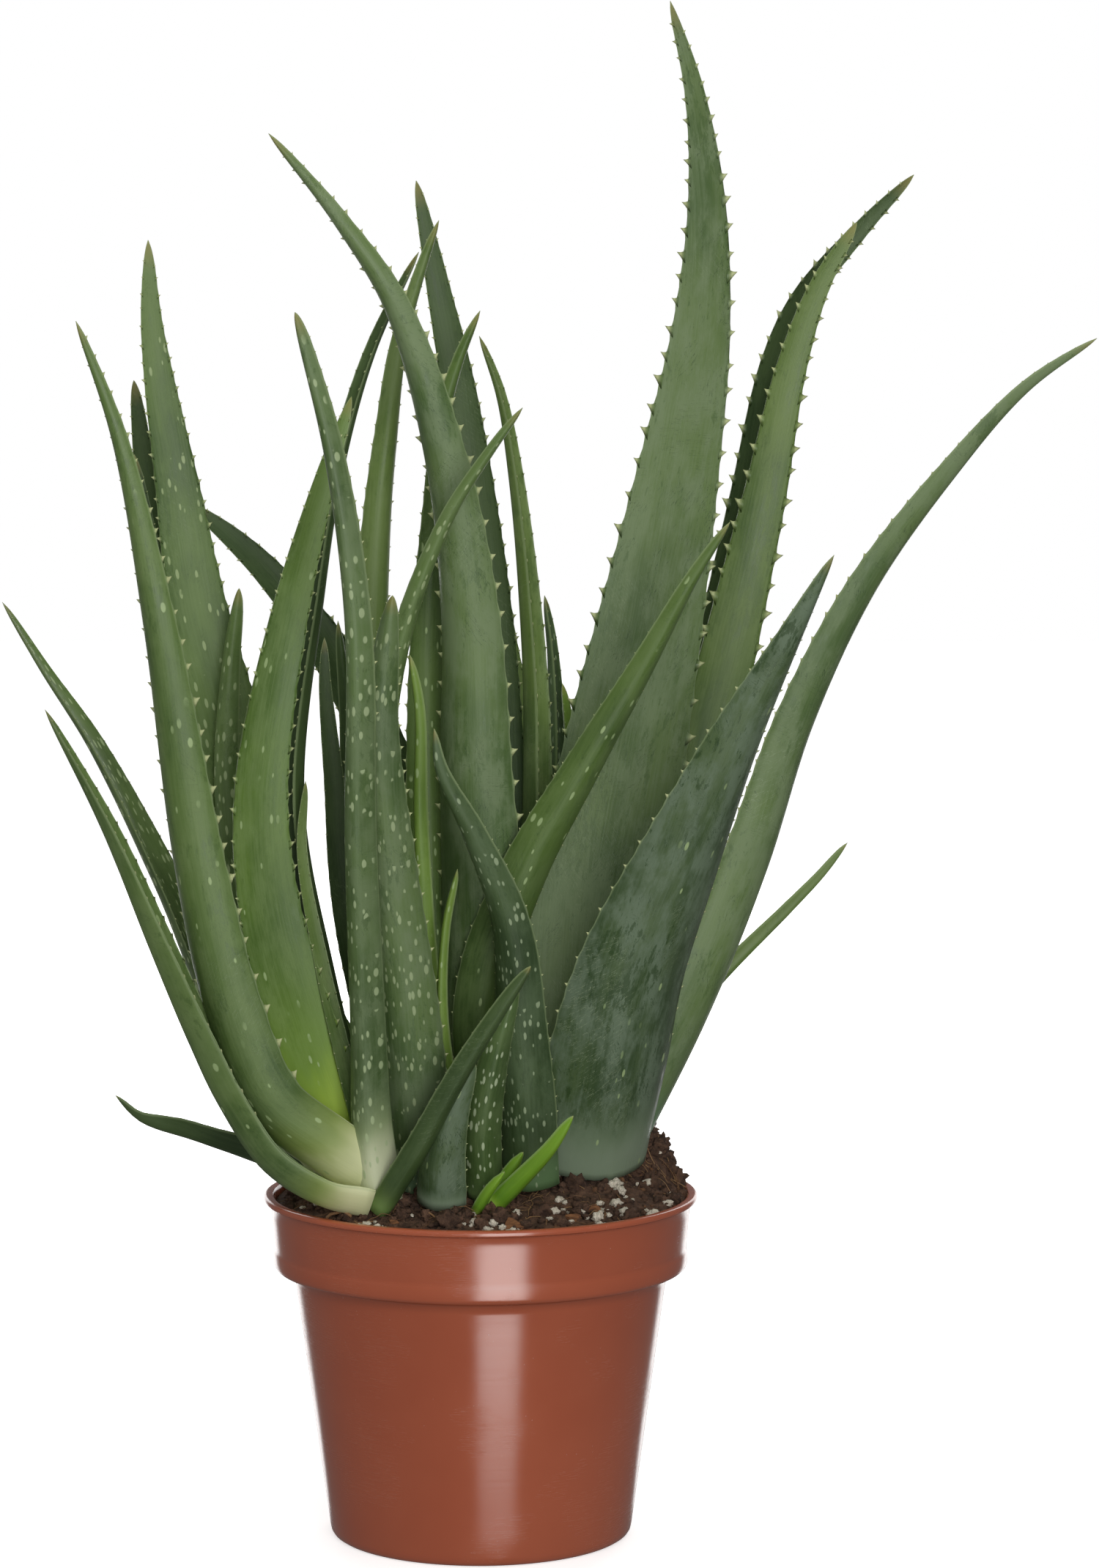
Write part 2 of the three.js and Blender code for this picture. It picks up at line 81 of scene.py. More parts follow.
def paint(code: str) -> Colour:
    """Turns a screen colour into the linear light that shaders work in.

    Args:
        code: Six hexadecimal digits.

    Returns:
        Red, green, blue and an alpha of one.
    """
    parts = [int(code[i : i + 2], 16) / 255 for i in (0, 2, 4)]
    linear = [p / 12.92 if p <= 0.04045 else ((p + 0.055) / 1.055) ** 2.4 for p in parts]
    return (linear[0], linear[1], linear[2], 1.0)


# ------------------------------------------------------------------ shader kit


class Value:
    """A shader socket that takes part in Python arithmetic by adding Math nodes."""

    def __init__(self, kit: "NodeKit", socket: bpy.types.NodeSocket | None) -> None:
        """Wraps one output socket of a node tree."""
        self.kit = kit
        self.socket = socket

    def math(self, operation: str, *operands: "Value | float") -> "Value":
        """Adds one Math node.

        Args:
            operation: The node's operation.
            operands: Its inputs in order.

        Returns:
            The node's result.
        """
        inputs = dict(enumerate(operands))
        return self.kit.node("ShaderNodeMath", {"operation": operation}, inputs)

    def __add__(self, other: "Value | float") -> "Value":
        """Sum."""
        return self.math("ADD", self, other)

    __radd__ = __add__

    def __sub__(self, other: "Value | float") -> "Value":
        """Difference."""
        return self.math("SUBTRACT", self, other)

    def __rsub__(self, other: float) -> "Value":
        """Difference, taken from a plain number."""
        return self.math("SUBTRACT", other, self)

    def __mul__(self, other: "Value | float") -> "Value":
        """Product."""
        return self.math("MULTIPLY", self, other)

    __rmul__ = __mul__

    def __truediv__(self, other: "Value | float") -> "Value":
        """Quotient."""
        return self.math("DIVIDE", self, other)

    def __abs__(self) -> "Value":
        """Size without sign."""
        return self.math("ABSOLUTE", self)

    def step(self, start: float, end: float) -> "Value":
        """Rises smoothly from 0 to 1 while the value goes from start to end.

        Args:
            start: The value that gives 0.
            end: The value that gives 1, which may be the lower of the two.

        Returns:
            The smooth step.
        """
        low, high, first, last = (start, end, 0.0, 1.0) if start < end else (end, start, 1.0, 0.0)
        inputs = {"Value": self, "From Min": low, "From Max": high, "To Min": first, "To Max": last}
        return self.kit.node("ShaderNodeMapRange", {"interpolation_type": "SMOOTHSTEP"}, inputs)


class NodeKit:
    """A node tree that grows by one method."""

    def __init__(self, tree: bpy.types.NodeTree) -> None:
        """Takes over a tree and empties it."""
        self.tree = tree
        self.tree.nodes.clear()

    def node(
        self, kind: str, settings: dict | None = None, inputs: dict | None = None, output: int | str = 0
    ) -> Value:
        """Adds a node, sets it up and feeds its sockets.

        Args:
            kind: The node's type.
            settings: Its properties, set before anything else.
            inputs: Socket names or numbers with a constant or a Value.
            output: The output that is handed back.

        Returns:
            The chosen output.
        """
        made = self.tree.nodes.new(kind)
        for key, setting in (settings or {}).items():
            setattr(made, key, setting)
        for key, given in (inputs or {}).items():
            if isinstance(given, Value):
                self.tree.links.new(given.socket, made.inputs[key])
            else:
                made.inputs[key].default_value = given
        return Value(self, made.outputs[output] if len(made.outputs) else None)


class Shader(NodeKit):
    """One procedural material with a Principled surface."""

    def __init__(self, name: str) -> None:
        """Starts an empty material of that name."""
        self.material = bpy.data.materials.new(name)
        self.material.use_nodes = True
        super().__init__(self.material.node_tree)

    def attribute(self, name: str, output: str = "Vector") -> Value:
        """Reads a value stored on the mesh."""
        return self.node("ShaderNodeAttribute", {"attribute_name": name}, output=output)

    def place(self) -> Value:
        """Reads where the surface is in the row frame, in metres."""
        return self.node("ShaderNodeTexCoord", output="Object")

    def scaled(self, vector: Value, by: Point) -> Value:
        """Multiplies a vector by another, part by part."""
        return self.node("ShaderNodeVectorMath", {"operation": "MULTIPLY"}, {0: vector, 1: by})

    def turned(self, vector: Value, degrees: float) -> Value:
        """Turns a vector about its third axis."""
        angles = {"Vector": vector, "Angle": math.radians(degrees)}
        return self.node("ShaderNodeVectorRotate", {"rotation_type": "Z_AXIS"}, angles)

    def split(self, vector: Value, part: str) -> Value:
        """Takes X, Y or Z of a vector."""
        return self.node("ShaderNodeSeparateXYZ", inputs={0: vector}, output=part)

    def noise(self, vector: Value, scale: float, detail: float = 3.0, rough: float = 0.5) -> Value:
        """Adds a noise texture.

        Args:
            vector: Where it is sampled.
            scale: Its frequency.
            detail: Its octaves.
            rough: How strong the finer octaves are.

        Returns:
            Its value, from 0 to 1.
        """
        inputs = {"Vector": vector, "Scale": scale, "Detail": detail, "Roughness": rough}
        return self.node("ShaderNodeTexNoise", inputs=inputs)

    def mix(self, share: "Value | float", first: "Value | Colour", second: "Value | Colour") -> Value:
        """Blends two colours.

        Args:
            share: 0 for the first, 1 for the second.
            first: A colour.
            second: A colour.

        Returns:
            The blend.
        """
        return self.node("ShaderNodeMix", {"data_type": "RGBA"}, {0: share, 6: first, 7: second}, 2)

    def bump(self, height: Value, strength: float, distance_mm: float) -> Value:
        """Turns a height into a normal."""
        inputs = {"Height": height, "Strength": strength, "Distance": distance_mm * MM}
        return self.node("ShaderNodeBump", inputs=inputs)

    def surface(self, **sockets: "Value | float | Colour") -> bpy.types.Material:
        """Closes the material with a Principled surface.

        Args:
            sockets: Principled inputs, with underscores for spaces.

        Returns:
            The finished material.
        """
        inputs = {key.replace("_", " "): given for key, given in sockets.items()}
        skin = self.node("ShaderNodeBsdfPrincipled", inputs=inputs)
        self.node("ShaderNodeOutputMaterial", inputs={"Surface": skin})
        return self.material


# ------------------------------------------------------------------ finishes


@dataclass(frozen=True)
class LeafFinish:
    """The skin of a leaf: its colours, markings and gloss.

    A layer is a noise over the skin: scale across and along the leaf, frequency, octaves and roughness.
    A scuff is its turn in degrees, its tone and its strength.
    """

    name: str
    slot: str
    skin: str
    deep: str
    bloom: str
    young: str
    root: str
    root_reach: float = 0.14
    bloom_share: float = 0.35
    spots: float = 0.0
    spot_colour: str = "a9bf86"
    spot_size: float = 1.05
    scratches: float = 0.4
    roughness: float = 0.46

    LAYERS = {
        "mottle": (0.035, 0.012, 1.0, 4.0, 0.55),
        "grain": (1.3, 0.035, 1.0, 3.0, 0.6),
        "dust": (0.11, 0.035, 1.0, 7.0, 0.66),
        "rubbed": (0.34, 0.09, 1.3, 9.0, 0.74),
        "cloud": (0.04, 0.016, 1.7, 3.0, 0.5),
    }
    SCUFFS = ((62, "2f4527", 0.9), (-50, "a9b894", 0.4), (85, "31462b", 0.9), (8, "2f4527", 0.6))
    DRY_TIP = "9c9152"
    MARGIN = "a3b584"
    HORN = "c6cd96"
    HORN_TIP = "b38a60"
    SPOT_PITCH = 2.4
    SPOT_STRETCH = 2.9

    def material(self) -> bpy.types.Material:
        """Builds the leaf skin: mottled green, lightened towards the tip as painted light, under a rubbed
        bloom, with spots, scratches and pale edges.

        Returns:
            The material.
        """
        s = Shader(f"leaf_{self.name}")
        place = s.attribute("leaf_place")
        where = s.attribute("leaf_where")
        edge, share, tooth = (s.split(where, part) for part in "XYZ")
        mottle, grain, dust, rubbed, cloud = (
            s.noise(s.scaled(place, (across, along, 1.0)), scale, detail, rough)
            for across, along, scale, detail, rough in self.LAYERS.values()
        )
        # Painted light: on top of the random mottle, the skin runs from the deep green near the root to the
        # main green near the tip, so the upper leaf looks more brightly lit.
        mottle_and_tip_light = mottle + (share - 0.45) * 0.2
        skin = s.mix(mottle_and_tip_light.step(0.36, 0.62), paint(self.deep), paint(self.skin))
        skin = s.mix(grain.step(0.35, 0.7) * 0.22, skin, paint(self.bloom))
        dusted = dust.step(0.4, 0.62) * self.bloom_share
        skin = s.mix(dusted, skin, paint(self.bloom))
        worn = (rubbed + (cloud - 0.5) * 0.5).step(0.565, 0.63) * (0.8 * self.bloom_share + 0.1)
        skin = s.mix(worn, skin, paint(self.deep))
        skin = self._scratch(s, place, skin)
        young = share + (mottle - 0.5) * (0.9 * self.root_reach)
        skin = s.mix(young.step(self.root_reach, 0.35 * self.root_reach), skin, paint(self.young))
        skin = s.mix(young.step(0.65 * self.root_reach, 0.2 * self.root_reach), skin, paint(self.root))
        mark: Value | None = None
        if self.spots > 0:
            mark = self._spots(s, place, edge, share)
            skin = s.mix(mark * 0.85, skin, paint(self.spot_colour))
        skin = s.mix(share.step(0.965, 0.998) * 0.6, skin, paint(self.DRY_TIP))
        skin = s.mix(edge.step(0.5, 0.1) * 0.45, skin, paint(self.MARGIN))
        skin = s.mix(tooth.step(0.05, 0.6) * 0.9, skin, paint(self.HORN))
        skin = s.mix(tooth.step(0.85, 1.0) * 0.5, skin, paint(self.HORN_TIP))
        height = grain * 0.5 + dust * 0.35
        if mark is not None:
            height = height + mark * 0.2
        return s.surface(
            Base_Color=skin,
            Roughness=self.roughness + dusted * 0.28 - worn * 0.16 + (grain - 0.5) * 0.08,
            Normal=s.bump(height, 0.35, 0.5),
            Specular_IOR_Level=0.42,
        )

    def _scratch(self, s: Shader, place: Value, skin: Value) -> Value:
        """Draws fine dark and pale scuffs across the skin.

        Args:
            s: The material.
            place: Where the surface is on the leaf.
            skin: The colour so far.

        Returns:
            The scuffed colour.
        """
        if self.scratches <= 0:
            return skin
        for turn, tone, amount in self.SCUFFS:
            lined = s.noise(s.scaled(s.turned(place, turn), (0.09, 0.7, 1.0)), 1.0, 3.0, 0.6)
            patch = s.noise(s.scaled(place, (0.05, 0.03, 1.0)), 1.0 + 0.01 * turn, 3.0, 0.6)
            line = abs(lined - 0.5).step(0.011, 0.003) * patch.step(0.54, 0.62)
            skin = s.mix(line * (self.scratches * amount), skin, paint(tone))
        return skin

    def _spots(self, s: Shader, place: Value, edge: Value, share: Value) -> Value:
        """Scatters the long pale spots in loose rows.

        Args:
            s: The material.
            place: Where the surface is on the leaf.
            edge: Distance to the margin.
            share: Share of the leaf's length from its root.

        Returns:
            How much of a spot covers the place.
        """
        across = 1 / (self.SPOT_PITCH * self.spot_size)
        grid = s.scaled(place, (across, across / self.SPOT_STRETCH, 1.0))
        settings = {"voronoi_dimensions": "2D"}
        inputs = {"Vector": grid, "Scale": 1.0, "Randomness": 0.85}
        cells = s.node("ShaderNodeTexVoronoi", settings, inputs, "Distance")
        pick = s.node("ShaderNodeTexVoronoi", settings, inputs, "Color")
        chance = s.split(pick, "X")
        row = s.noise(s.scaled(place, (0.03, 0.07, 1.0)), 1.0, 2.0, 0.5)
        dense = row.step(0.33, 0.58) * self.spots
        present = (dense - chance).step(-0.04, 0.04)
        size = 0.15 + 0.17 * s.split(pick, "Y")
        spot = (size - cells).step(0.0, 0.1)
        return spot * present * edge.step(0.5, 1.2) * share.step(0.99, 0.95)


GREEN = LeafFinish("green", "green_leaf", "68803f", "4b6431", "849760", "829a48", "9cb066")
SPOTTED = LeafFinish(
    "spotted", "green_leaf", "657e40", "47602f", "7e945f", "7f9748", "93a962",
    spots=0.5, spot_colour="a5b782",
)
FRECKLED = LeafFinish(
    "freckled", "green_leaf", "667f44", "495f30", "7d9260", "7f9748", "93a962",
    spots=1.0, spot_colour="adbe8c",
)
MOSSY = LeafFinish(
    "mossy", "green_leaf", "5b7536", "405828", "748a53", "6f8a44", "8fa45c", spots=0.2
)
LIME_ROOT = LeafFinish(
    "lime_root", "green_leaf", "69863b", "506c2d", "839a5f", "7b9b3a", "a5c146",
    root_reach=0.3, spots=0.1, scratches=0.2,
)
# Painted shade: a darker copy of the green skin, for leaves that stand in shadow at the back and low in the
# rosettes.
SHADED_GREEN = LeafFinish(
    "dark", "dark_leaf", "465b30", "324723", "5b7046", "546938", "6f8a4c", bloom_share=0.25
)
DARK_SPOTTED = LeafFinish(
    "dark_spotted", "dark_leaf", "4a5f37", "364a29", "627754", "4f653d", "5d7a50",
    bloom_share=0.45, spots=0.65, spot_colour="9fb08b", spot_size=0.85,
)
RUBBED = LeafFinish(
    "rubbed", "dark_leaf", "52673f", "2f4720", "70826a", "728568", "82937a",
    bloom_share=0.8, scratches=1.0, spots=0.06,
)
GLAUCOUS = LeafFinish(
    "glaucous", "glaucous_leaf", "6b824c", "516a3a", "82946e", "657c49", "6d8a66",
    bloom_share=0.62, scratches=0.7,
)
GLAUCOUS_SPOTTED = LeafFinish(
    "glaucous_spotted", "glaucous_leaf", "647b47", "475f33", "7b8c68", "617849", "72906a",
    bloom_share=0.5, spots=1.0, spot_colour="a5b588",
)
BRIGHT = LeafFinish(
    "bright", "young_leaf", "77953d", "5b7a2c", "8aa557", "87a340", "9fbd5a",
    bloom_share=0.2, spots=0.4, scratches=0.1,
)
SPROUT = LeafFinish(
    "sprout", "young_leaf", "7aa62c", "5e8c22", "90b63f", "86ad35", "a4c95a",
    bloom_share=0.1, scratches=0.0, roughness=0.36,
)
WHITE_SPOTTED = LeafFinish(
    "white_spotted", "green_leaf", "556f3b", "3f5729", "728755", "5f7a44", "7b9a5c",
    spots=1.3, spot_colour="bccba5", spot_size=0.95, scratches=0.1,
)
PALE_ROOT = LeafFinish(
    "pale_root", "green_leaf", "637c41", "405a28", "80955f", "93a455", "d6daa8",
    root_reach=0.15, spots=0.1,
)
PALE_SPOTTED = LeafFinish(
    "pale_spotted", "glaucous_leaf", "627a46", "475e32", "7a8c65", "98a87a", "cdd3ae",
    root_reach=0.12, bloom_share=0.5, spots=0.95, spot_colour="adbe90",
)


class Teeth(Enum):
    """How the margins are armed: tooth height and spacing in millimetres."""

    BARE = (0.0, 1.0)
    FINE = (0.9, 7.5)
    SMALL = (1.5, 11.5)
    BOLD = (2.5, 14.0)


# ------------------------------------------------------------------ meshes


def mesh_piece(name: str, points: np.ndarray, faces: Sequence[Sequence[int]]) -> bpy.types.Object:
    """Makes a mesh piece and puts it in the scene.

    Args:
        name: The piece's name.
        points: Its vertices in metres.
        faces: Its faces as rows of vertex numbers.

    Returns:
        The piece, shaded smooth.
    """
    mesh = bpy.data.meshes.new(name)
    mesh.from_pydata(points.tolist(), [], [tuple(int(i) for i in face) for face in faces])
    mesh.validate()
    mesh.update()
    mesh.shade_smooth()
    piece = bpy.data.objects.new(name, mesh)
    bpy.context.scene.collection.objects.link(piece)
    return piece


def store(piece: bpy.types.Object, name: str, rows: np.ndarray) -> None:
    """Stores a number or a vector on every vertex for the shaders to read."""
    kind = "FLOAT" if rows.ndim == 1 else "FLOAT_VECTOR"
    attribute = piece.data.attributes.new(name, kind, "POINT")
    attribute.data.foreach_set("value" if rows.ndim == 1 else "vector", rows.astype(np.float32).ravel())


def finish_piece(
    piece: bpy.types.Object, material: bpy.types.Material, replaced: Sequence[str] = ()
) -> bpy.types.Object:
    """Dresses a piece and ties it to the frame.

    Args:
        piece: The new piece.
        material: Its material.
        replaced: CAD nodes that it stands for.

    Returns:
        The piece.
    """
    piece.data.materials.append(material)
    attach(piece, BODY)
    if replaced:
        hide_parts(*replaced)
    stands_for = ", ".join(replaced) or "nothing in the CAD"
    log.info("%s: %d vertices, stands for %s", piece.name, len(piece.data.vertices), stands_for)
    return piece


def ring_faces(rings: int, around: int, closed: bool = True) -> list[tuple[int, ...]]:
    """Lists the quads between successive rings of vertices.

    Args:
        rings: How many rings there are.
        around: Vertices in each ring.
        closed: Whether each ring joins up with its own start.

    Returns:
        The faces, facing out where rings climb and run anticlockwise.
    """
    last = around if closed else around - 1
    starts = [(r * around, (r + 1) * around) for r in range(rings - 1)]
    pairs = [(i, (i + 1) % around) for i in range(last)]
    return [(a + i, a + j, b + j, b + i) for a, b in starts for i, j in pairs]


class Spine:
    """A smooth line through a leaf's route, measured by its own length."""

    STEPS = 48
    LOOK = 2

    def __init__(self, route: Sequence[Point]) -> None:
        """Fits the line, a centripetal spline, through the points of the route.

        Args:
            route: Points from root to tip, in millimetres.
        """
        p = np.array(route, float)
        p = np.vstack([2 * p[0] - p[1], p, 2 * p[-1] - p[-2]])
        spans = []
        for a, b, c, d in zip(p[:-3], p[1:-2], p[2:-1], p[3:]):
            spans.append(self._span(a, b, c, d))
        self.points = np.vstack(spans + [p[-2][None]])
        steps = np.linalg.norm(np.diff(self.points, axis=0), axis=1)
        self.run = np.concatenate([[0], np.cumsum(steps)])
        self.length = float(self.run[-1])

    def _span(self, a: np.ndarray, b: np.ndarray, c: np.ndarray, d: np.ndarray) -> np.ndarray:
        """Samples the stretch from b to c.

        Args:
            a: The point before it.
            b: Its start.
            c: Its end.
            d: The point after it.

        Returns:
            Points from b up to, but not with, c.
        """
        before, over, after = (math.sqrt(np.linalg.norm(q - p)) for p, q in ((a, b), (b, c), (c, d)))
        leave = ((b - a) / before - (c - a) / (before + over) + (c - b) / over) * over
        reach = ((c - b) / over - (d - b) / (over + after) + (d - c) / after) * over
        t = np.linspace(0, 1, self.STEPS, endpoint=False)[:, None]
        bend = -3 * b + 3 * c - 2 * leave - reach
        twist = 2 * b - 2 * c + leave + reach
        return b + leave * t + bend * t**2 + twist * t**3

    def at(self, shares: np.ndarray) -> tuple[np.ndarray, np.ndarray]:
        """Gives points and directions at shares of the length.

        Args:
            shares: From 0 at the root to 1 at the tip.

        Returns:
            Points, and unit vectors along the line towards the tip.
        """
        def walk(s: np.ndarray) -> np.ndarray:
            """Points at shares of the length."""
            axes = [np.interp(s * self.length, self.run, self.points[:, k]) for k in range(3)]
            return np.stack(axes, axis=1)

        reach = self.LOOK / self.length
        ahead = walk(np.clip(shares + reach, 0, 1)) - walk(np.clip(shares - reach, 0, 1))
        return walk(shares), ahead / np.linalg.norm(ahead, axis=1, keepdims=True)


@dataclass(frozen=True)
class Leaf:
    """One leaf: its route from root to tip and its sizes, in millimetres.

    Its upper face looks in the compass direction `faces`, in degrees from +X towards +Y, from root to tip.
    TAPER shapes its width towards the tip and BELLY its round lower face. A slice of a tooth is how far out
    it lies, where it starts and ends along the margin, its half thickness and its tone. A tooth's point is
    how far out it lies, how far ahead and its tone.
    """

    node: str
    route: tuple[Point, ...]
    width: float
    thick: float
    cup: float
    faces: tuple[float, float]
    finish: LeafFinish
    teeth: Teeth = Teeth.SMALL
    blunt: float = 1.0
    neck: float = 0.08
    neck_reach: float = 0.12
    sheath: float = 0.0
    first_tooth: float = 0.1

    AROUND = 11
    RING_PITCH = 3.2
    BODY_END = 0.96
    TIP_START = 0.965
    TIP_RINGS = 14
    TAPER = (1.25, 0.5, 0.75)
    SHEATH_REACH = 0.12
    TIP_WIDTH = 2.4
    TIP_REACH = 4.0
    THINNEST = 0.12
    BELLY = (1.83, 0.8)
    SCALLOP = 0.65
    SCALLOP_REACH = 3.2
    LAST_TOOTH = 0.985
    TOOTH_SLICES = (
        (-0.35, -0.75, 0.62, 0.30, 0.02),
        (0.16, -0.36, 0.46, 0.20, 0.3),
        (0.52, -0.02, 0.40, 0.11, 0.7),
    )
    TOOTH_POINT = (1.1, 0.42, 0.95)
    TOOTH_CORNERS = 13
    TOOTH_EDGE = 0.6
    TOOTH_BASE = 1.6
    TOOTH_SINK = 0.45
    TOOTH_SIZES = (0.75, 1.15)
    TOOTH_GAPS = (0.8, 1.2)
    CROWDING = 0.55

    def build(self, materials: dict[str, bpy.types.Material]) -> bpy.types.Object:
        """Makes the leaf with its teeth and hands it to the frame.

        Args:
            materials: Leaf materials by the name of their finish.

        Returns:
            The leaf.
        """
        dice = random.Random(self.node)
        spine = Spine(self.route)
        body = int(spine.length / self.RING_PITCH)
        tip = np.linspace(self.TIP_START, 1, self.TIP_RINGS)
        shares = np.concatenate([np.linspace(0, self.BODY_END, body), tip])
        stations = self._stations(spine, shares)
        teeth = [self._tooth_places(spine, dice) for _ in (0, 1)]
        points, where, place = self._blade(stations, shares, spine.length, teeth)
        faces = ring_faces(len(shares), 2 * self.AROUND)
        faces.append(tuple(range(2 * self.AROUND))[::-1])
        count = len(points)
        last = (len(shares) - 1) * 2 * self.AROUND
        faces.append(tuple(last + i for i in range(2 * self.AROUND)))
        fins, fin_faces, fin_tone, fin_place = self._teeth(spine, teeth, count, dice)
        piece = mesh_piece(f"{self.node}_blade", np.vstack([points, fins]) * MM, faces + fin_faces)
        seed = dice.uniform(0, 40)
        place = np.vstack([place, fin_place])
        place[:, 2] += seed
        store(piece, "leaf_place", place)
        store(piece, "leaf_where", np.vstack([where, fin_tone]))
        self._crease_margins(piece, len(shares))
        return finish_piece(piece, materials[self.finish.name], [self.node])

    def _stations(self, spine: Spine, shares: np.ndarray) -> dict[str, np.ndarray]:
        """Works out the cross-section at shares of the length.

        Args:
            spine: The leaf's centre line.
            shares: Where the sections are.

        Returns:
            Centres, directions and sizes of the sections.
        """
        centres, tangents = spine.at(shares)
        compass = np.radians(self.faces[0] + (self.faces[1] - self.faces[0]) * shares)
        upper = np.stack([np.cos(compass), np.sin(compass), np.zeros_like(compass)], axis=1)
        upper -= tangents * np.sum(upper * tangents, axis=1, keepdims=True)
        upper /= np.linalg.norm(upper, axis=1, keepdims=True)
        s = 1 - shares
        first, second, third = self.TAPER
        full = np.clip(first * s + second * s**2 - third * s**3, 0, 1) ** self.blunt
        grown = np.clip(1 - np.exp(-s * spine.length / self.TIP_REACH), 0, 1)
        beak = self.TIP_WIDTH * grown * (1 - s) ** 2
        slim = 1 - self.neck * np.exp(-((shares / self.neck_reach) ** 2))
        base = np.exp(-((shares / self.SHEATH_REACH) ** 2))
        half = 0.5 * (self.width * full * slim + self.sheath * base + beak)
        return {
            "centre": centres,
            "tangent": tangents,
            "upper": upper,
            "across": np.cross(upper, tangents),
            "half": np.maximum(half, self.THINNEST),
            "thick": np.maximum(self.thick * full**0.9 * slim + 0.6 * beak, 0.15),
            "cup": self.cup * full * slim + 0.35 * self.sheath * base,
        }

    def _blade(
        self, st: dict[str, np.ndarray], shares: np.ndarray, length: float, teeth: list[np.ndarray]
    ) -> tuple[np.ndarray, np.ndarray, np.ndarray]:
        """Makes the blade's rings: a channelled upper face and a round lower one.

        Args:
            st: The sections.
            shares: Where they are.
            length: The leaf's length.
            teeth: Places of the teeth on both margins.

        Returns:
            Vertices, then edge distance, share and tooth tone, then the place on the skin.
        """
        round_out, round_in = self.BELLY
        turn = np.cos(np.linspace(0, math.pi, self.AROUND + 1))
        top = turn[:-1]
        bottom = -turn[:-1]
        rows = []
        for u, low in [(v, False) for v in top] + [(v, True) for v in bottom]:
            lift = (st["thick"] + st["cup"]) / 2
            if low:
                rise = lift - (st["thick"] + st["cup"]) * (1 - abs(u) ** round_out) ** round_in
            else:
                rise = lift - st["cup"] * (1 - u**2)
            side = teeth[0] if u > 0 else teeth[1]
            scallop = np.zeros_like(shares)
            if abs(u) > 0.97 and len(side):
                gap = np.min(np.abs(shares[:, None] - side[None]) * length, axis=1)
                bite = 1 - np.exp(-((gap / self.SCALLOP_REACH) ** 2))
                scallop = -self.SCALLOP * bite * np.clip(st["half"] / 8, 0, 1)
            reach = u * st["half"] + math.copysign(1, u) * scallop
            corner = st["centre"] + st["across"] * reach[:, None] + st["upper"] * rise[:, None]
            where = np.stack([(1 - abs(u)) * st["half"], shares, np.zeros_like(shares)], axis=1)
            face = np.full_like(shares, 3.0 if low else 0.0)
            place = np.stack([reach, shares * length, face], axis=1)
            rows.append(np.concatenate([corner, where, place], axis=1))
        grid = np.stack(rows, axis=1).reshape(-1, 9)
        return grid[:, :3], grid[:, 3:6], grid[:, 6:]

    def _tooth_places(self, spine: Spine, dice: random.Random) -> np.ndarray:
        """Spaces the teeth along one margin, closer together towards the tip.

        Args:
            spine: The leaf's centre line.
            dice: Source of irregularity.

        Returns:
            Shares of the length.
        """
        height, pitch = self.teeth.value
        places = []
        share = self.first_tooth + dice.uniform(0, 0.02)
        while height and share < self.LAST_TOOTH:
            places.append(share)
            share += pitch * (1.0 - self.CROWDING * share**2) * dice.uniform(*self.TOOTH_GAPS) / spine.length
        return np.array(places)

    def _teeth(
        self, spine: Spine, teeth: list[np.ndarray], start: int, dice: random.Random
    ) -> tuple[np.ndarray, list[tuple[int, ...]], np.ndarray, np.ndarray]:
        """Makes the hooked teeth of both margins.

        Args:
            spine: The leaf's centre line.
            teeth: Where the teeth are.
            start: The number of the first new vertex.
            dice: Source of irregularity.

        Returns:
            Vertices, faces, edge distance with share and tooth tone, and the place on the skin.
        """
        points: list[np.ndarray] = []
        faces: list[tuple[int, ...]] = []
        tone: list[tuple[float, float, float]] = []
        place: list[tuple[float, float, float]] = []
        for side, shares in zip((1, -1), teeth):
            if not len(shares):
                continue
            st = self._stations(spine, shares)
            for k, share in enumerate(shares):
                half, cup = st["half"][k], st["cup"][k]
                grown = 0.34 + 0.66 * min(1, half / 9)
                size = self.teeth.value[0] * grown * dice.uniform(*self.TOOTH_SIZES)
                base = self.TOOTH_BASE * size
                lift = (st["thick"][k] + cup) / 2
                edge = half - self.TOOTH_SINK
                root = st["centre"][k] + st["across"][k] * side * edge + st["upper"][k] * lift
                out = st["across"][k] * side * half + st["upper"][k] * cup * 0.7
                out = out / np.linalg.norm(out)
                along, flat = st["tangent"][k], st["upper"][k]
                first = start + len(points)
                for reach, back, front, deep, hue in self.TOOTH_SLICES:
                    mid = (back + front) / 2
                    for a, d in ((back, 0), (mid, -deep), (front, 0), (mid, deep)):
                        points.append(root + out * reach * size + along * a * base + flat * d * size)
                        tone.append((self.TOOTH_EDGE, share, hue))
                reach, ahead, hue = self.TOOTH_POINT
                points.append(root + out * size * reach + along * ahead * base)
                tone.append((self.TOOTH_EDGE, share, hue))
                place.extend([(side * half, share * spine.length, 0.0)] * self.TOOTH_CORNERS)
                order = (0, 1, 2, 3) if side > 0 else (3, 2, 1, 0)
                for low, high in ((first, first + 4), (first + 4, first + 8)):
                    for i in range(4):
                        a, b = order[i], order[(i + 1) % 4]
                        faces.append((low + a, low + b, high + b, high + a))
                for i in range(4):
                    faces.append((first + 8 + order[i], first + 8 + order[(i + 1) % 4], first + 12))
        rows = [np.array(given).reshape(-1, 3) for given in (points, tone, place)]
        return rows[0], faces, rows[1], rows[2]

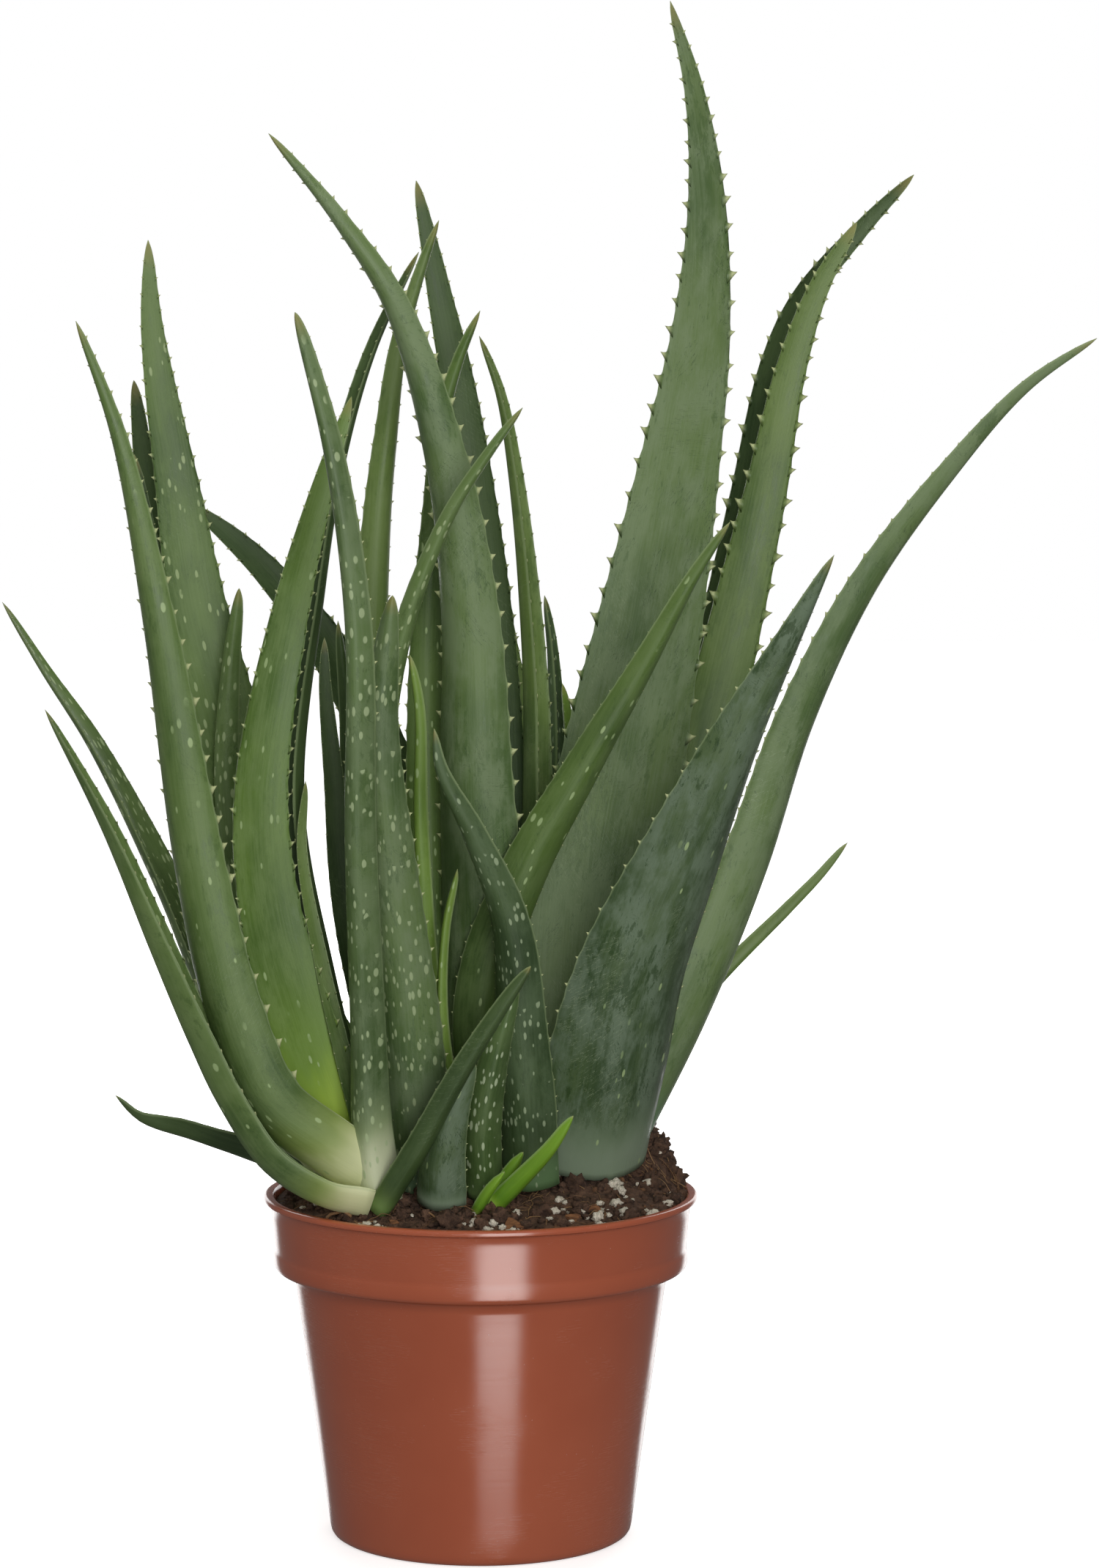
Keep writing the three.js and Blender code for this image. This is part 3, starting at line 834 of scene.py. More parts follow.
    def _crease_margins(self, piece: bpy.types.Object, rings: int) -> None:
        """Keeps the margins crisp where the upper face meets the lower one.

        Args:
            piece: The leaf.
            rings: How many rings its blade has.
        """
        around = 2 * self.AROUND
        sharp = piece.data.attributes.new("sharp_edge", "BOOLEAN", "EDGE")
        flags = np.zeros(len(piece.data.edges), bool)
        for i, edge in enumerate(piece.data.edges):
            a, b = edge.vertices
            if max(a, b) < rings * around and a % around == b % around and a % around in (0, self.AROUND):
                flags[i] = True
        sharp.data.foreach_set("value", flags)


@dataclass
class Rosette:
    """A crown with the leaves that grow from it."""

    name: str
    leaves: list[Leaf]
    crowned: bool = True

    def build(self, materials: dict[str, bpy.types.Material]) -> None:
        """Makes the crown and every leaf of the rosette."""
        if self.crowned:
            self._crown(materials["crown"])
        for leaf in self.leaves:
            leaf.build(materials)

    def _crown(self, material: bpy.types.Material) -> None:
        """Makes the short stem, ringed by the scars and sheaths of old leaves.

        Args:
            material: Its material.
        """
        node = f"{self.name}_crown"
        low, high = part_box(node)
        centre = (low + high) / 2
        radius = (high.x - low.x) / 2
        rings, around = 40, 48
        rows = []
        for r in range(rings):
            h = r / (rings - 1)
            z = low.z + (high.z - low.z) * h
            swell = min(1, (h / 0.45) ** 0.6) * (1 - max(0, (h - 0.6) / 0.4) ** 2) ** 0.5
            for i in range(around):
                angle = 2 * math.pi * i / around
                scars = 0.03 * math.sin(38 * h + 1.5 * math.sin(2 * angle))
                fold = 0.035 * math.sin(3 * angle + 9 * h) + scars
                wide = max(0.02, swell) * radius * (0.94 + fold)
                rows.append((centre.x + wide * math.cos(angle), centre.y + wide * math.sin(angle), z))
        faces = ring_faces(rings, around)
        faces.append(tuple(range(around))[::-1])
        faces.append(tuple((rings - 1) * around + i for i in range(around)))
        piece = mesh_piece(f"{self.name}_crown_stem", np.array(rows), faces)
        finish_piece(piece, material, [node])


def crown_material() -> bpy.types.Material:
    """Pale yellow-green sheath tissue with fine brown fibres near the soil.

    Returns:
        The material.
    """
    s = Shader("crown_tissue")
    place = s.place()
    fibre = s.noise(s.scaled(place, (900.0, 900.0, 60.0)), 1.0, 4.0, 0.6)
    cloud = s.noise(place, 60.0, 4.0, 0.6)
    skin = s.mix(cloud.step(0.35, 0.65), paint("b7c284"), paint("d3d9ae"))
    skin = s.mix(fibre.step(0.62, 0.75) * 0.55, skin, paint("8c7448"))
    return s.surface(Base_Color=skin, Roughness=0.5 + 0.2 * fibre, Normal=s.bump(fibre + cloud, 0.4, 0.6))


# ------------------------------------------------------------------ pot


@dataclass
class Pot:
    """The moulded nursery pot, in millimetres.

    FOOT, BEAD, BAND and LIP are corners of its outer profile: steps out and up from the body's foot, from
    the bead over the shoulder, from the band's foot over the shoulder and from the top of the rim.
    """

    shoulder: float = 104.6
    band_foot: float = 80.7
    band_top: float = 82.2
    bead: float = 81.15
    body_top: float = 73.3
    body_foot: float = 59.4
    wall: float = 1.6
    floor: float = 2.4
    drains: int = 6
    drain_radius: float = 4.5
    drain_circle: float = 44.0
    around: int = 192
    hole_corners: int = 28

    FOOT = ((-3.6, 0), (-2.2, 0.2), (-1.1, 0.9), (-0.4, 2.0), (0, 3.8))
    BEAD = ((-3.4, 1.0), (-1.2, 1.5), (-0.35, 2.2), (0, 3.3), (0.02, 5.4), (-0.05, 7.3), (-0.2, 8.0))
    BAND = ((0.05, 8.6), (0.12, 9.8))
    LIP = ((-0.7, -2.5), (-0.15, -2.1), (0, -1.5), (-0.1, -0.8), (-0.5, -0.25), (-1.2, 0))
    BODY_RINGS = 12
    BAND_RINGS = 4
    BAND_END = 3.2
    FLOOR_INSET = (3.6, 1.7)
    CREASE = 38

    def build(self) -> None:
        """Makes the pot's wall and its pierced floor."""
        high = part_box("pot")[1]
        rim, top = high.x / MM, high.z / MM
        profile = self._outside(rim, top) + self._inside(top)
        angles = np.arange(self.around) * 2 * math.pi / self.around
        points = np.array([(r * math.cos(a), r * math.sin(a), z) for r, z in profile for a in angles])
        wall = mesh_piece("pot_wall", points * MM, ring_faces(len(profile), self.around))
        self._add_floor(wall)
        wall.data.shade_smooth()
        wall.data.set_sharp_from_angle(angle=math.radians(self.CREASE))
        finish_piece(wall, self._plastic(), ["pot"])

    def _outside(self, rim: float, top: float) -> list[tuple[float, float]]:
        """Lists the outer profile from the foot up to the rolled rim.

        Args:
            rim: Outside radius of the rim.
            top: Height of the rim.

        Returns:
            Radius and height of each corner.
        """
        foot, band = self.body_foot, self.shoulder
        above_foot = self.FOOT[-1][1]
        rise, out = band - above_foot, self.body_top - foot
        profile = [(foot + r, z) for r, z in self.FOOT]
        steps = self.BODY_RINGS + 0.5
        body = range(1, self.BODY_RINGS + 1)
        profile += [(foot + out * k / steps, above_foot + rise * k / steps) for k in body]
        profile += [(self.body_top, band - 0.6), (self.body_top + 0.5, band)]
        profile += [(self.bead + r, band + z) for r, z in self.BEAD]
        profile += [(self.band_foot + r, band + z) for r, z in self.BAND]
        radius, height = profile[-1]
        wider, higher = self.band_top - self.band_foot, top - self.BAND_END - height
        rings = range(1, self.BAND_RINGS + 1)
        profile += [(radius + wider * k / len(rings), height + higher * k / len(rings)) for k in rings]
        profile.append((self.band_top + 0.4, top - 2.7))
        return profile + [(rim + r, top + z) for r, z in self.LIP]

    def _inside(self, top: float) -> list[tuple[float, float]]:
        """Lists the inner profile from the rim down to the floor.

        Args:
            top: Height of the rim.

        Returns:
            Radius and height of each corner.
        """
        inner = self.band_top - self.wall
        body = self.body_top - self.wall
        foot = self.body_foot - self.wall
        return [
            (inner + 0.9, top - 0.15),
            (inner + 0.3, top - 0.9),
            (inner, top - 2.6),
            (self.bead - 1.5 * self.wall, self.shoulder + 4),
            (body + 1.2, self.shoulder + 1.6),
            (body, self.shoulder - 0.6),
            (foot, self.floor + 1.7),
            (foot - 1.7, self.floor),
        ]

    def _add_floor(self, wall: bpy.types.Object) -> None:
        """Closes the foot with a floor pierced by drain holes.

        Args:
            wall: The pot's wall, which takes the floor in.
        """
        work = bmesh.new()
        work.from_mesh(wall.data)
        below, above = self.FLOOR_INSET
        under = (self.body_foot - below, 0.0, False)
        inside = (self.body_foot - self.wall - above, self.floor, True)
        for radius, z, up in (under, inside):
            loops = [self._circle(work, (0.0, 0.0), radius, z, self.around)]
            for hole in self._holes():
                loops.append(self._circle(work, hole, self.drain_radius, z, self.hole_corners))
            edges = [edge for loop in loops for edge in loop]
            filled = bmesh.ops.triangle_fill(work, edges=edges, use_beauty=True, use_dissolve=False)
            for face in (f for f in filled["geom"] if isinstance(f, bmesh.types.BMFace)):
                face.normal_update()
                if (face.normal.z > 0) != up:
                    face.normal_flip()
        for x, y in self._holes():
            ring = [
                (x + self.drain_radius * math.cos(a), y + self.drain_radius * math.sin(a))
                for a in self._turns(self.hole_corners)
            ]
            lower = [work.verts.new((px * MM, py * MM, 0)) for px, py in ring]
            upper = [work.verts.new((px * MM, py * MM, self.floor * MM)) for px, py in ring]
            for i in range(self.hole_corners):
                j = (i + 1) % self.hole_corners
                work.faces.new((lower[j], lower[i], upper[i], upper[j]))
        bmesh.ops.remove_doubles(work, verts=work.verts, dist=0.00002)
        work.to_mesh(wall.data)
        work.free()

    def _turns(self, count: int) -> list[float]:
        """Angles of a full turn in equal steps."""
        return [2 * math.pi * i / count for i in range(count)]

    def _holes(self) -> list[tuple[float, float]]:
        """Centres of the drain holes."""
        turns = [2 * math.pi * (i + 0.5) / self.drains for i in range(self.drains)]
        return [(self.drain_circle * math.cos(a), self.drain_circle * math.sin(a)) for a in turns]

    def _circle(
        self, work: bmesh.types.BMesh, centre: tuple[float, float], radius: float, z: float, count: int
    ) -> list[bmesh.types.BMEdge]:
        """Draws a closed ring of edges in the floor.

        Args:
            work: The mesh being built.
            centre: The ring's centre.
            radius: Its radius.
            z: Its height.
            count: Its corners.

        Returns:
            The edges.
        """
        x, y = centre
        corners = [
            work.verts.new(((x + radius * math.cos(a)) * MM, (y + radius * math.sin(a)) * MM, z * MM))
            for a in self._turns(count)
        ]
        return [work.edges.new((corners[i], corners[(i + 1) % count])) for i in range(count)]

    def _plastic(self) -> bpy.types.Material:
        """Terracotta-coloured glossy plastic with faint turning marks, scuffs and dust.

        Returns:
            The material.
        """
        s = Shader("terracotta_plastic")
        place = s.place()
        cloud = s.noise(place, 14.0, 4.0, 0.55)
        turning = s.noise(s.scaled(place, (10.0, 10.0, 900.0)), 1.0, 3.0, 0.6)
        scuff = s.noise(s.scaled(place, (60.0, 60.0, 2600.0)), 1.0, 2.0, 0.5)
        patch = s.noise(place, 30.0, 3.0, 0.6)
        marks = abs(scuff - 0.5).step(0.02, 0.004) * patch.step(0.5, 0.66)
        specks = {"Vector": place, "Scale": 420.0, "Randomness": 1.0}
        speck = s.node("ShaderNodeTexVoronoi", inputs=specks, output="Distance")
        dust = speck.step(0.085, 0.05) * s.noise(place, 55.0, 2.0, 0.5).step(0.55, 0.68)
        skin = s.mix(cloud.step(0.3, 0.7), paint("ae5638"), paint("b55d3e"))
        skin = s.mix(marks * 0.2, skin, paint("bd8a74"))
        skin = s.mix(dust * 0.5, skin, paint("cbb8aa"))
        return s.surface(
            Base_Color=skin,
            Roughness=0.2 + marks * 0.2 + dust * 0.3 + (cloud - 0.5) * 0.08 + (turning - 0.5) * 0.06,
            Normal=s.bump(turning + marks, 0.1, 0.1),
            Specular_IOR_Level=0.85,
        )


# ------------------------------------------------------------------ soil


@dataclass(frozen=True)
class Heap:
    """A mound of loose soil, in millimetres."""

    x: float
    y: float
    reach: float
    rise: float


class Spread(Enum):
    """How thick a kind of litter lies: pieces, smallest and largest radius in millimetres."""

    CRUMBS = (1900, 0.5, 2.0)
    CLODS = (170, 2.0, 4.2)
    PERLITE = (120, 0.8, 2.9)
    FIBRES = (330, 6.0, 20.0)


@dataclass
class Soil:
    """The crumbly potting soil with its mineral grains, fibres and bark, in millimetres.

    Drifts are where the mineral grains gather: a place and its reach. HEAPED is the share of litter drawn on
    the heap and STRAYS the share of grains outside the drifts. A side is a radius and a height of the fill's
    wall inside the pot. A chip is a place, a size and a turn in radians.
    """

    radius: float = 80.3
    edge_drop: float = 3.5
    crown: float = 7.0
    heaps: tuple[Heap, ...] = (Heap(66, 20, 15, 30), Heap(48, -4, 26, 8), Heap(-44, -30, 20, 3))
    drifts: tuple[Point, ...] = ((-42, -67, 3.0), (42, -48, 12.0), (8, -71, 6.0), (58, -30, 9.0))
    rings: int = 76
    around: int = 220

    HEAP_CENTRE = (66, 16)
    HEAP_REACH = 22
    HEAPED = 0.2
    STRAYS = 0.45
    INSIDE = 0.985
    SIDES = ((78.4, 110.0), (71.2, 104.0), (57.6, 5.0))
    SOLE = 55.8
    CHIPS = ((13, -69, 3.9, 0.3), (36, -58, 2.8, 1.2), (44, -48, 2.3, 2.2), (-32, -66, 1.8, 0.8))
    CHIP = (
        (-1.1, -0.7), (-0.2, -0.8), (0.9, -0.75), (0.7, -0.2), (0.25, 0.9), (-0.05, 1.15), (-0.6, 0.3)
    )

    def __post_init__(self) -> None:
        """Takes the soil's level from the pot."""
        self.edge_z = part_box("pot")[1].z / MM - self.edge_drop
        self.dice = random.Random("soil")

    def height(self, x: float, y: float) -> float:
        """Gives the height of the soil's surface at a place, lumps and all.

        Args:
            x: The place's first coordinate.
            y: Its second.

        Returns:
            The height in millimetres.
        """
        out = min(1.0, math.hypot(x, y) / self.radius)
        mounds = (h.rise * math.exp(-((x - h.x) ** 2 + (y - h.y) ** 2) / h.reach**2) for h in self.heaps)
        piled = sum(mounds) * (1 - out**12)
        lumps = noise.fractal(Vector((x / 13, y / 13, 3.1)), 1.0, 2.1, 3) * 1.6
        grit = noise.turbulence(Vector((x / 4.2, y / 4.2, 7.7)), 4, True) * 1.5
        edge = 1 - 0.6 * out**8
        return self.edge_z + self.crown * (1 - out**2) + piled + (lumps + grit) * edge * (1 + piled / 22)

    def build(self) -> None:
        """Makes the surface and everything that lies on it."""
        self._ground()
        self._pebbles("soil_crumbs", Spread.CRUMBS, 1, 0.5, self._peat("peat_crumbs", True), self._anywhere)
        self._pebbles("soil_clods", Spread.CLODS, 2, 0.55, self._peat("peat_clods", True), self._anywhere)
        self._pebbles("soil_perlite", Spread.PERLITE, 2, 0.42, self._perlite(), self._near_front)
        self._fibres()
        self._bark()

    def _ground(self) -> None:
        """Makes the lumpy top and the plain sides and underside of the fill."""
        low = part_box("potting_soil")[0]
        points = [(0.0, 0.0, self.height(0, 0))]
        for r in range(1, self.rings + 1):
            radius = self.radius * (r / self.rings) ** 0.8
            for i in range(self.around):
                a = 2 * math.pi * i / self.around
                x, y = radius * math.sin(a), -radius * math.cos(a)
                points.append((x, y, self.height(x, y)))
        for radius, z in (*self.SIDES, (self.SOLE, low.z / MM)):
            for i in range(self.around):
                a = 2 * math.pi * i / self.around
                points.append((radius * math.sin(a), -radius * math.cos(a), z))
        n = self.around
        faces: list[tuple[int, ...]] = [(0, 1 + i, 1 + (i + 1) % n) for i in range(n)]
        rings = self.rings + len(self.SIDES) + 1
        faces += [(a + 1, d + 1, c + 1, b + 1) for a, b, c, d in ring_faces(rings, n)]
        faces.append(tuple(1 + (rings - 1) * n + i for i in range(n))[::-1])
        ground = mesh_piece("soil_ground", np.array(points) * MM, faces)
        finish_piece(ground, self._peat("peat_ground", False), ["potting_soil"])

    def _anywhere(self) -> tuple[float, float]:
        """Draws a place anywhere on the soil, or now and then on the heap.

        Returns:
            The place.
        """
        if self.dice.random() < self.HEAPED:
            x, y = self.dice.gauss(64, 13), self.dice.gauss(14, 14)
        else:
            r = self.radius * math.sqrt(self.dice.random()) * self.INSIDE
            a = self.dice.uniform(0, 2 * math.pi)
            x, y = r * math.cos(a), r * math.sin(a)
        return self._kept_in(x, y)

    def _near_front(self) -> tuple[float, float]:
        """Draws a place for a mineral grain, more often than not in a drift."""
        if self.dice.random() < self.STRAYS:
            return self._anywhere()
        x, y, reach = self.dice.choice(self.drifts)
        return self._kept_in(self.dice.gauss(x, reach), self.dice.gauss(y, reach))

    def _kept_in(self, x: float, y: float) -> tuple[float, float]:
        """Draws a place back inside the rim."""
        reach = min(1, self.radius * self.INSIDE / max(math.hypot(x, y), 0.001))
        return x * reach, y * reach

    def _pebbles(
        self,
        name: str,
        spread: Spread,
        fine: int,
        rough: float,
        material: bpy.types.Material,
        where: Callable[[], tuple[float, float]],
    ) -> None:
        """Scatters lumps of one kind over the soil.

        Args:
            name: The piece's name.
            spread: How many and how large.
            fine: Subdivisions of each lump.
            rough: How jagged they are.
            material: Their material.
            where: Picks a place for each.
        """
        count, small, large = spread.value
        seed = bmesh.new()
        bmesh.ops.create_icosphere(seed, subdivisions=fine + 1, radius=1.0)
        ball = np.array([v.co[:] for v in seed.verts])
        tris = np.array([[v.index for v in f.verts] for f in seed.faces])
        seed.free()
        points, faces, tones = [], [], []
        for k in range(count):
            x, y = where()
            size = small + (large - small) * self.dice.random() ** 2.2
            squash = np.array([self.dice.uniform(*span) for span in ((0.65, 1.2), (0.65, 1.2), (0.6, 1))])
            offset = Vector((k * 3.7, k * 1.3, 0.0))
            bumps = np.array([1 + rough * noise.noise(Vector(p) * 1.9 + offset) * 1.5 for p in ball])
            turn = np.array(Matrix.Rotation(self.dice.uniform(0, 6.28), 3, "Z"))
            body = (ball * bumps[:, None] * squash * size) @ turn.T
            points.append(body + [x, y, self.height(x, y) + 0.3 * size])
            faces.append(tris + k * len(ball))
            tones.append(np.full(len(ball), self.dice.random()))
        piece = mesh_piece(name, np.vstack(points) * MM, np.vstack(faces))
        store(piece, "grain_tone", np.concatenate(tones))
        finish_piece(piece, material)

    def _fibres(self) -> None:
        """Lays fine roots and coir fibres over the soil, some sticking up from the heap."""
        count, short, long = Spread.FIBRES.value
        paths = []
        for _ in range(count):
            x, y = self._anywhere()
            bearing, length = self.dice.uniform(0, 2 * math.pi), self.dice.uniform(short, long)
            heaped = math.hypot(x - self.HEAP_CENTRE[0], y - self.HEAP_CENTRE[1]) < self.HEAP_REACH
            lift = self.dice.uniform(0.5, 4.5) if heaped else self.dice.uniform(0.2, 1.6)
            path = []
            for step in range(9):
                t = step / 8
                bearing += self.dice.gauss(0, 0.28)
                x += math.cos(bearing) * length / 8
                y += math.sin(bearing) * length / 8
                out = math.hypot(x, y)
                if out > self.radius + 1.0:
                    x, y = x * (self.radius + 1.0) / out, y * (self.radius + 1.0) / out
                path.append((x, y, self.height(x, y) + 0.2 + lift * math.sin(math.pi * min(1, t * 1.2))))
            paths.append((path, self.dice.uniform(0.07, 0.17)))
        root = [(-19 + 1.1 * k, -60.5 - 1.3 * k + 1.2 * math.sin(k), 2.2 - 0.18 * k) for k in range(9)]
        nub = [(-58 + 1.6 * k, -50 - 1.0 * k, 1.6 + 2.4 * math.sin(0.5 * k)) for k in range(7)]
        for path, radius in ((root, 0.42), (nub, 0.7)):
            paths.append(([(x, y, self.height(x, y) + lift) for x, y, lift in path], radius))
        points, faces, tones = [], [], []
        for path, radius in paths:
            base = len(points)
            for i, (x, y, z) in enumerate(path):
                nxt = path[min(i + 1, len(path) - 1)]
                prev = path[max(i - 1, 0)]
                along = Vector(nxt) - Vector(prev)
                side = along.cross(Vector((0, 0, 1))).normalized()
                up = side.cross(along).normalized()
                for corner in range(4):
                    a = corner * math.pi / 2
                    spot = Vector((x, y, z)) + (side * math.cos(a) + up * math.sin(a)) * radius
                    points.append(spot[:])
            faces += [tuple(base + v for v in face) for face in ring_faces(len(path), 4)]
            tones += [self.dice.random()] * (4 * len(path))
        piece = mesh_piece("soil_fibres", np.array(points) * MM, faces)
        store(piece, "grain_tone", np.array(tones))
        s = Shader("dry_fibre")
        tone = s.attribute("grain_tone", "Fac")
        streak = s.noise(s.place(), 500.0, 2.0, 0.5)
        tint = s.mix(tone.step(0.1, 0.95), paint("6b4a31"), paint("b08a5e"))
        tint = s.mix(streak * 0.3, tint, paint("4a3324"))
        finish_piece(piece, s.surface(Base_Color=tint, Roughness=0.8))

    def _bark(self) -> None:
        """Lays chips of orange-brown bark on the soil."""
        points, faces = [], []
        n = len(self.CHIP)
        for x, y, size, turn in self.CHIPS:
            base = len(points)
            cos, sin = math.cos(turn), math.sin(turn)
            z = self.height(x, y) + 1.0
            for top in (0, 1):
                for i, (u, v) in enumerate(self.CHIP):
                    a, b = u * cos - v * sin, u * sin + v * cos
                    lean = 0.42 * b * size
                    thick = top * (0.9 + 0.25 * math.sin(2.4 * i))
                    points.append((x + a * size, y + b * size, z + lean + thick))
            faces.append(tuple(base + i for i in range(n))[::-1])
            faces.append(tuple(base + n + i for i in range(n)))
            faces += [(base + i, base + (i + 1) % n, base + n + (i + 1) % n, base + n + i) for i in range(n)]
        piece = mesh_piece("soil_bark", np.array(points) * MM, faces)
        piece.data.shade_flat()
        s = Shader("bark")
        place = s.place()
        ply = s.noise(s.scaled(place, (300.0, 900.0, 900.0)), 1.0, 5.0, 0.65)
        tint = s.mix(ply.step(0.3, 0.7), paint("553522"), paint("936440"))
        finish_piece(piece, s.surface(Base_Color=tint, Roughness=0.8, Normal=s.bump(ply, 0.7, 0.6)))

    def _peat(self, name: str, toned: bool) -> bpy.types.Material:
        """Dark brown fibrous peat.

        Args:
            name: The material's name.
            toned: Whether each crumb carries a tone of its own.

        Returns:
            The material.
        """
        s = Shader(name)
        place = s.place()
        coarse = s.noise(place, 190.0, 6.0, 0.68)
        fine = s.noise(place, 1100.0, 4.0, 0.6)
        hair = s.noise(s.scaled(s.turned(place, 35), (260.0, 2600.0, 900.0)), 1.0, 3.0, 0.6)
        tint = s.mix(coarse.step(0.3, 0.7), paint("3a2a20"), paint("765844"))
        tint = s.mix(fine.step(0.45, 0.8) * 0.5, tint, paint("80604a"))
        tint = s.mix(hair.step(0.64, 0.72) * 0.55, tint, paint("94714f"))
        if toned:
            tone = s.attribute("grain_tone", "Fac")
            tint = s.mix(tone.step(0.0, 1.0) * 0.45, tint, paint("3b281d"))
            tint = s.mix(tone.step(0.9, 0.97) * 0.5, tint, paint("9a6d48"))
        normal = s.bump(coarse + fine, 0.9, 1.4)
        return s.surface(Base_Color=tint, Roughness=0.88 + 0.1 * fine, Normal=normal)

    def _perlite(self) -> bpy.types.Material:
        """Cream-white foamed mineral, pitted and dusty.

        Returns:
            The material.
        """
        s = Shader("perlite")
        place = s.place()
        pits = s.node("ShaderNodeTexVoronoi", inputs={"Vector": place, "Scale": 1500.0}, output="Distance")
        grime = s.noise(place, 420.0, 4.0, 0.6)
        tint = s.mix(pits.step(0.28, 0.08) * 0.75, paint("dcd3c0"), paint("8f7d66"))
        tint = s.mix(grime.step(0.52, 0.72) * 0.6, tint, paint("a8937c"))
        return s.surface(Base_Color=tint, Roughness=0.85, Normal=s.bump(pits, 0.8, 0.6))


# ------------------------------------------------------------------ studio


@dataclass
class Softbox:
    """A soft light: where it stands, where it looks, its size in metres and its brightness."""

    name: str
    place: Point
    target: Point
    wide: float
    tall: float
    glow: float
    mirrored: bool = True

    def build(self) -> None:
        """Hangs the light."""
        lamp = bpy.data.lights.new(self.name, "AREA")
        lamp.shape = "RECTANGLE"
        lamp.size, lamp.size_y = self.wide, self.tall
        lamp.energy = self.glow * math.pi * self.wide * self.tall
        stand = bpy.data.objects.new(self.name, lamp)
        stand.location = self.place
        aim = Vector(self.target) - Vector(self.place)
        stand.rotation_euler = aim.to_track_quat("-Z", "Y").to_euler()
        stand.visible_camera = False
        stand.visible_glossy = self.mirrored
        bpy.context.scene.collection.objects.link(stand)


@dataclass
class Studio:
    """The pale floor, the lights and the camera.

    Lengths are in metres, but for the lens in millimetres. The tilt is in degrees. Ambient is the walls'
    strength as light.
    """

    lens: float = 105.4
    tilt: float = 5.12
    stand_off: float = 1.78
    side_step: float = 0.027
    eye: float = 0.455
    ambient: float = 0.17
    floor_reach: int = 6
    lights: list[Softbox] = field(
        default_factory=lambda: [
            Softbox("key", (0.42, -1.95, 0.15), (0, 0, 0.15), 0.95, 2.3, 5.3),
            Softbox("fill", (-1.5, -1.0, 0.8), (0, 0, 0.3), 0.7, 1.3, 0.6, mirrored=False),
            Softbox("top", (0.1, -0.3, 1.9), (0, 0, 0.3), 1.2, 1.2, 2.0, mirrored=False),
            Softbox("rear_left", (-0.6, 1.65, 0.4), (0, 0, 0.3), 0.5, 1.8, 2.0),
            Softbox("rear_right", (0.6, 1.65, 0.4), (0, 0, 0.3), 0.5, 1.8, 2.0),
            Softbox("back_fill", (0.2, 2.2, 0.9), (0, 0, 0.3), 1.8, 1.5, 2.2, mirrored=False),
            Softbox("side_fill", (-2.0, 0.9, 0.7), (0, 0, 0.3), 1.2, 1.5, 1.3, mirrored=False),
        ]
    )

    def build(self) -> None:
        """Sets up the camera, the floor, the lights and the bright surroundings."""
        camera = bpy.data.objects.new("camera", bpy.data.cameras.new("camera"))
        camera.data.lens = self.lens
        camera.data.sensor_width = 36.0
        camera.location = (self.side_step, -self.stand_off, self.eye)
        camera.rotation_euler = (math.radians(90 - self.tilt), 0, 0)
        bpy.context.scene.collection.objects.link(camera)
        bpy.context.scene.camera = camera
        bpy.context.scene.view_settings.view_transform = "Standard"
        self._floor()
        for light in self.lights:
            light.build()
        self._surroundings()

    def _floor(self) -> None:
        """Lays the pale floor, which glows as painted light: grey near the pot and pure white further out."""
        square = np.array([(-1, -1, 0), (1, -1, 0), (1, 1, 0), (-1, 1, 0)])
        floor = mesh_piece("floor", square * self.floor_reach, [(0, 1, 2, 3)])
        s = Shader("pale_floor")
        away = s.node("ShaderNodeVectorMath", {"operation": "LENGTH"}, {0: s.place()}, "Value")
        # Painted light: the floor glows, grey within 0.12 m of the centre and rising to pure white at 0.75 m.
        glow = s.mix(away.step(0.12, 0.75), paint("cfcfcf"), WHITE)
        pale = paint("f4f4f2")
        material = s.surface(Base_Color=pale, Roughness=0.8, Emission_Color=glow, Emission_Strength=1.0)
        floor.data.materials.append(material)
        floor.visible_glossy = False
        floor.visible_diffuse = False
        floor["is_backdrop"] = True

    def _surroundings(self) -> None:
        """Makes the studio's walls: white to look at, softer as light."""
        world = bpy.data.worlds.new("studio")
        world.use_nodes = True
        kit = NodeKit(world.node_tree)
        seen = kit.node("ShaderNodeLightPath", output="Is Camera Ray")
        strength = self.ambient + (1.0 - self.ambient) * seen
        light = kit.node("ShaderNodeBackground", inputs={"Color": WHITE, "Strength": strength})
        kit.node("ShaderNodeOutputWorld", inputs={"Surface": light})
        bpy.context.scene.world = world


# ------------------------------------------------------------------ the plant's leaves

